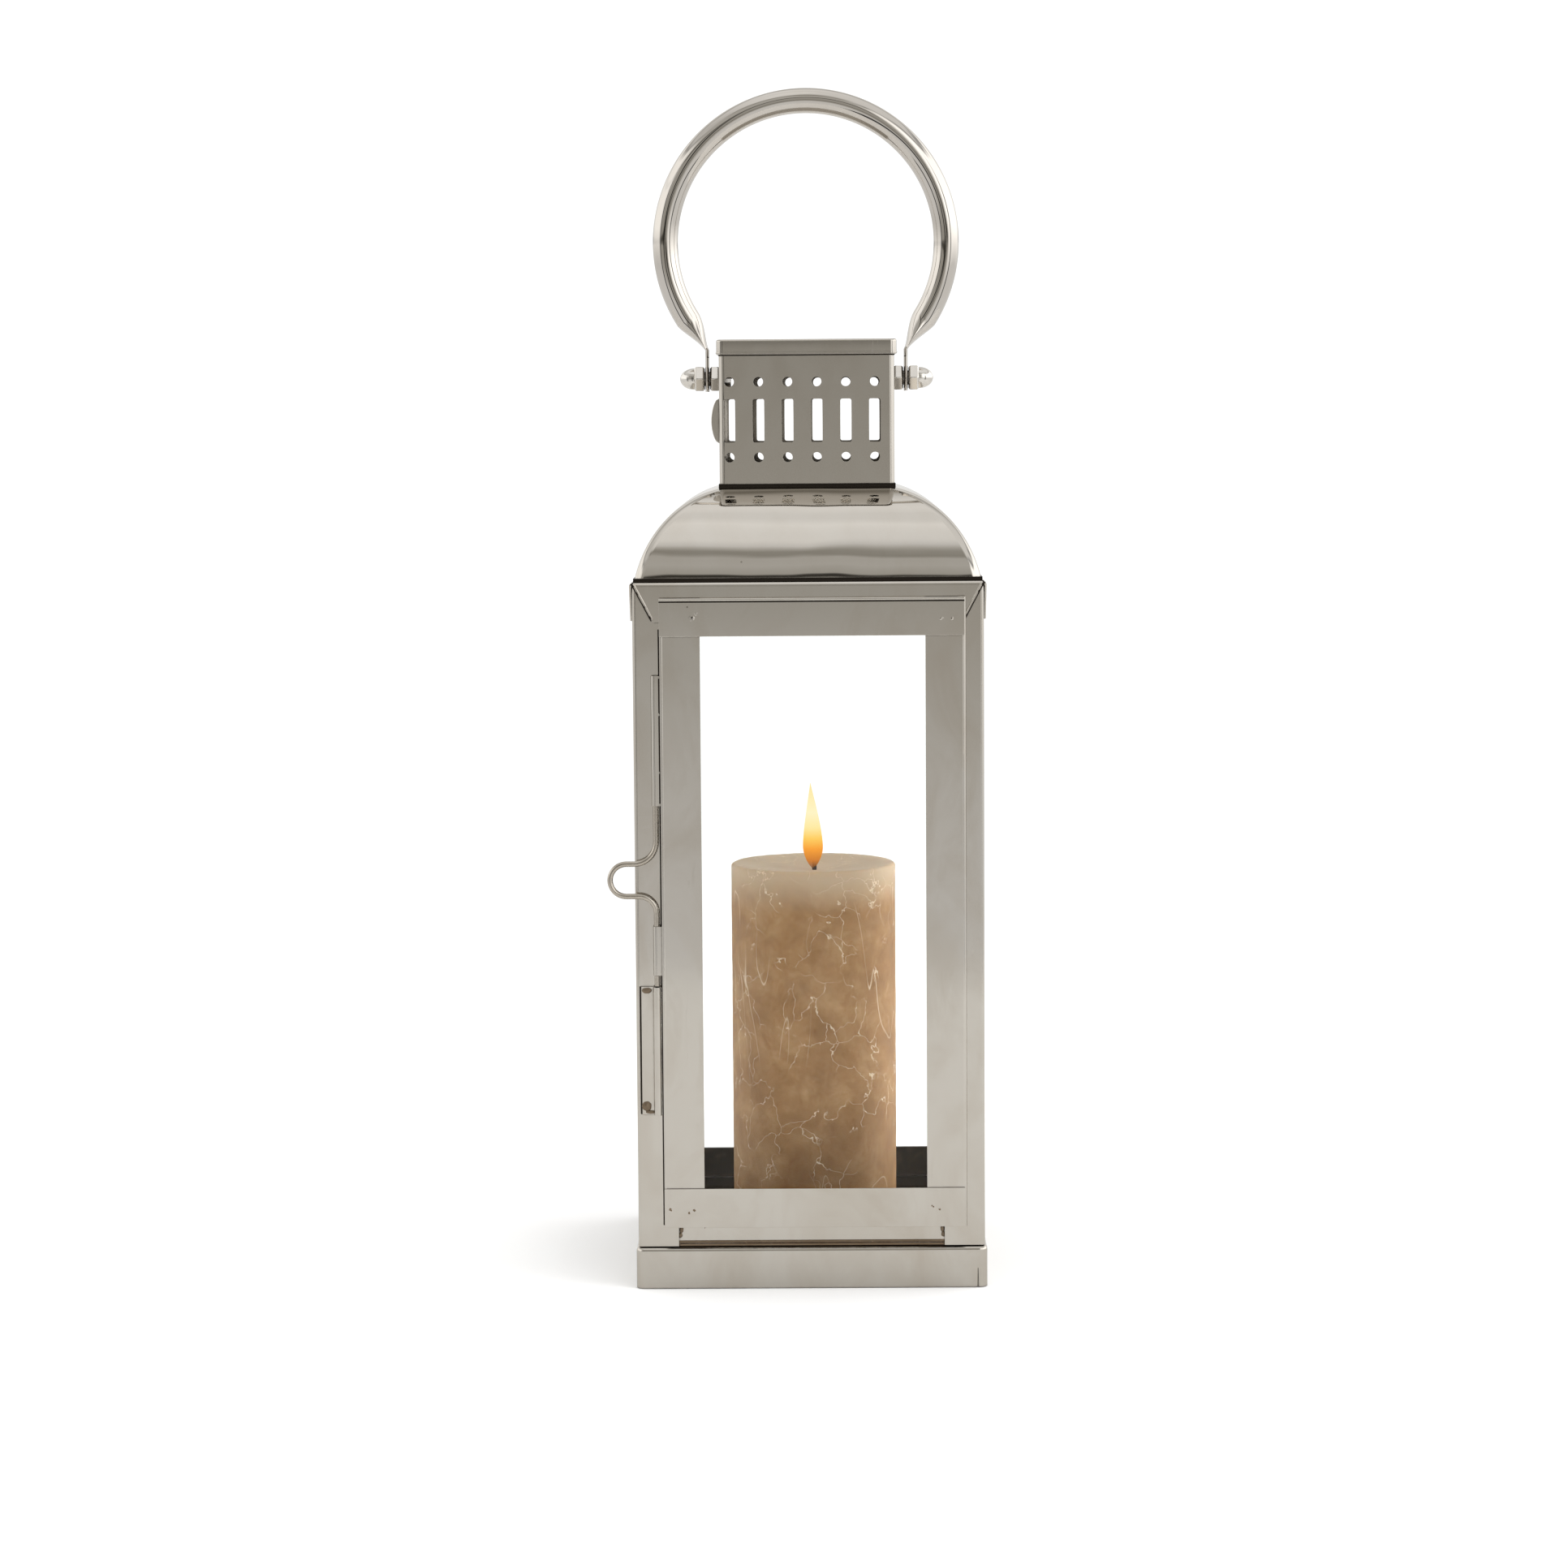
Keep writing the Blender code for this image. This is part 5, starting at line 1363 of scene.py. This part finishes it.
# Painted shade under the top rail's bead, beside the sleeve and at the foot of the stile.
door_lines = [
    shade_line("rail_shade", (rail_low.x, front - 0.05 * MM, rail_high.z - 1.75 * MM),
              (rail_high.x, front + 0.05 * MM, rail_high.z - 1.15 * MM), 0.05),
    shade_line("sleeve_shade", (bolt_x + 1.5 * MM, sleeve_low.y - 0.02 * MM, sleeve_low.z + 1 * MM),
              (stile_low.x + 0.1 * MM, sleeve_low.y + 0.3 * MM, sleeve_high.z - 1 * MM), 0.05),
    shade_line("joint_shade_left",
              (stile_high.x - 0.25 * MM, foot_low.y + PROUD + 0.3 * MM, foot_low.z - 0.3 * MM),
              (stile_high.x + 0.15 * MM, foot_low.y + PROUD + 0.6 * MM, foot_low.z + 0.2 * MM)),
]
hang(joined("seam_shade_door", *door_lines), "door", "steel", SEAM_SHADE)
# A dark sheet on the inner face of each rail is painted shade, for the shaded inside of the body.
rear_low, rear_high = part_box("bottom_rail_rear")
inner_shade = slab("inner_painted_shade", (-POST_EDGE, rear_low.y - 0.12 * MM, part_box("floor_plate")[1].z + 0.06 * MM),
              (POST_EDGE, rear_low.y - 0.01 * MM, rear_high.z - 0.4 * MM))
edged(inner_shade, 0.03 * MM)
walls = [turned_about_z(inner_shade, f"inner_painted_shade_{quarters}", quarters) for quarters in range(4)]
discard(inner_shade)
hang(joined("inner_painted_shade", *walls), "frame", "steel", AGED_AND_SHADED)
print("painted shade lines and inner shade:", MADE[-3:])

# Each front mitre gets a dark strip of painted shade in its gap, and a thin steel rod as its bright lip.
MITRE_HALF, LIP_SHIFT = 8.0 * MM, 0.85 * MM
mitre_x = -header_face - MITRE_IN - 4.25 * MM
for hand, end in ((-1, "left"), (1, "right")):
    gap_shade = shade_line(f"mitre_gap_shade_{end}", (-0.45 * MM, -0.06 * MM, -MITRE_HALF - 0.6 * MM),
                    (0.45 * MM, 0.1 * MM, MITRE_HALF + 0.6 * MM), 0.3)
    lip = rod(f"mitre_lip_{end}", (0, 0.27 * MM, -MITRE_HALF), "Z", 2 * MITRE_HALF, 0.38 * MM)
    edged(lip, 0.1 * MM, 2, 60)
    for line, shift, finish in ((gap_shade, 0.0, SEAM_SHADE), (lip, LIP_SHIFT, STEEL)):
        hold(line)
        line.rotation_euler = (0, hand * math.atan(MITRE_LEAN), 0)
        line.location = (hand * (mitre_x - shift), header_face, header_top - MITRE_HALF)
        bpy.ops.object.transform_apply(location=True, rotation=True, scale=True)
        hang(line, "frame", "steel", finish)
print("mitres:", MADE[-4:])

# %% [markdown]
# The candle is a turned piece: a straight side with many rings, a rounded rim, and a burnt pool that dips
# towards the wick. Old wax is never even, so two displacements push the surface in and out: broad dents
# first, then a fine pitting.

# %% Candle and wick
low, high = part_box("candle")
candle_x, candle_r = (low.x + high.x) / 2, (high.x - low.x) / 2 - 0.25 * MM
RIM, RIM_FLAT, DISH, SPARE = 1.4 * MM, 3.5 * MM, 3.2 * MM, 0.25 * MM
SIDE_STEPS, RIM_STEPS, POOL_STEPS = 40, 6, 14
tall = high.z - low.z
side = [(candle_r, tall * k / SIDE_STEPS) for k in range(1, SIDE_STEPS)]
rim = [(candle_r - RIM * (1 - math.cos(a)), tall - RIM + RIM * math.sin(a) - SPARE)
       for a in [math.pi / 2 * k / RIM_STEPS for k in range(RIM_STEPS + 1)]]
pool_r = candle_r - RIM - RIM_FLAT
flat = [(candle_r - RIM - RIM_FLAT * k / 4, tall - SPARE) for k in (1, 2, 3)]
pool = [(pool_r * (1 - k / POOL_STEPS), tall - SPARE - DISH * math.sin(math.pi / 2 * k / POOL_STEPS) ** 0.9)
        for k in range(POOL_STEPS)]
profile = [(candle_r - 1.0 * MM, 0.1 * MM), (candle_r, 1.2 * MM)] + side + rim + flat + pool
candle = grown("burnt_candle", (candle_x, 0, low.z), 128, profile)
for kind, depth, size in (("CLOUDS", 0.34, 11), ("STUCCI", 0.10, 2.6)):
    roughened(candle, kind, size * MM, depth * MM, 0.6)
hold(candle)
bpy.ops.object.shade_smooth_by_angle(angle=math.radians(50))
hang(candle, "candle", "wax", WAX, "candle")
print("candle faces", len(candle.data.polygons), "from the floor plate to its rim", span(candle, 2), "mm")

low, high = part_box("wick")
wick = grown("charred_wick", ((low.x + high.x) / 2, 0, low.z), 12,
             [(1.1 * MM * (1 - 0.35 * (k / 12) ** 3), (high.z - low.z) * k / 12) for k in range(13)])
roughened(wick, "CLOUDS", 1.2 * MM, 0.4 * MM, 0.75)
hang(wick, "candle", "wick", WICK, "wick")
print("wick spans", span(wick, 2), "mm")

# %% [markdown]
# The flame is looks only. It is a turned teardrop that glows: deep orange round the wick and pale yellow
# above it. It leans a very little to one side, because each ring is moved sideways as it is extruded.

# %% Flame
FLAME_WIDE, FLAME_LEAN, WIDEST_AT, FLAME_STEPS = 4.25 * MM, 1.1 * MM, 0.26, 30
flame_at = (candle_x, 0, FLAME_FOOT)


def flame_radius(t):
    """Radius at a height from 0 to 1: swells quickly, then draws out to a point."""
    if t < WIDEST_AT:
        return FLAME_WIDE * math.sin(math.pi / 2 * t / WIDEST_AT) ** 0.7
    return FLAME_WIDE * (1 - ((t - WIDEST_AT) / (1 - WIDEST_AT)) ** 1.5) ** 1.15


def flame_aside(height):
    """How far the flame has drifted to one side at a height above its foot."""
    return -FLAME_LEAN * (height / FLAME_TALL) ** 2


steps_up = [0.012] + [k / FLAME_STEPS for k in range(1, FLAME_STEPS)] + [0.985]
flame_line = [(max(flame_radius(t), 0.1 * MM), FLAME_TALL * t) for t in steps_up]
flame = grown("candle_flame", flame_at, 32, flame_line, flame_aside)
hold(flame)
bpy.ops.object.shade_smooth()
hang(flame, "candle", None, FLAME)
print("flame spans", span(flame, 2), "mm")

# %% [markdown]
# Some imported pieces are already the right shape: the panes, the clips that hold them, the floor plate, the
# door pane and the pivot screws. They keep their own mesh and take a material here.

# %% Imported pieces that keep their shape
def finish_for(name):
    if "clip" in name:
        return STEEL_ACROSS
    if name == "floor_plate":
        return AGED_AND_SHADED
    if name.startswith("glass") or name == "door_glass":
        return GLASS
    if "screw" in name or "nut" in name:
        return BRIGHT
    return STEEL


kept = []
for name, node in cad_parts.items():
    if node.hide_render:
        continue
    finish = finish_for(name)
    for spot in node.material_slots:
        spot.material = finish
    if not node.material_slots:
        node.data.materials.append(finish)
    kept.append(name)
print("packed pieces kept:", kept)

# %% [markdown]
# Last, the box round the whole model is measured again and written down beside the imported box. The two
# should agree to within a fraction of a millimetre.

# %% Sizes and finish
low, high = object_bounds()
print("visual box", [round(v / MM, 2) for v in low], [round(v / MM, 2) for v in high])
print("packed box", [[round(v / MM, 2) for v in corner] for corner in CAD_BOX])
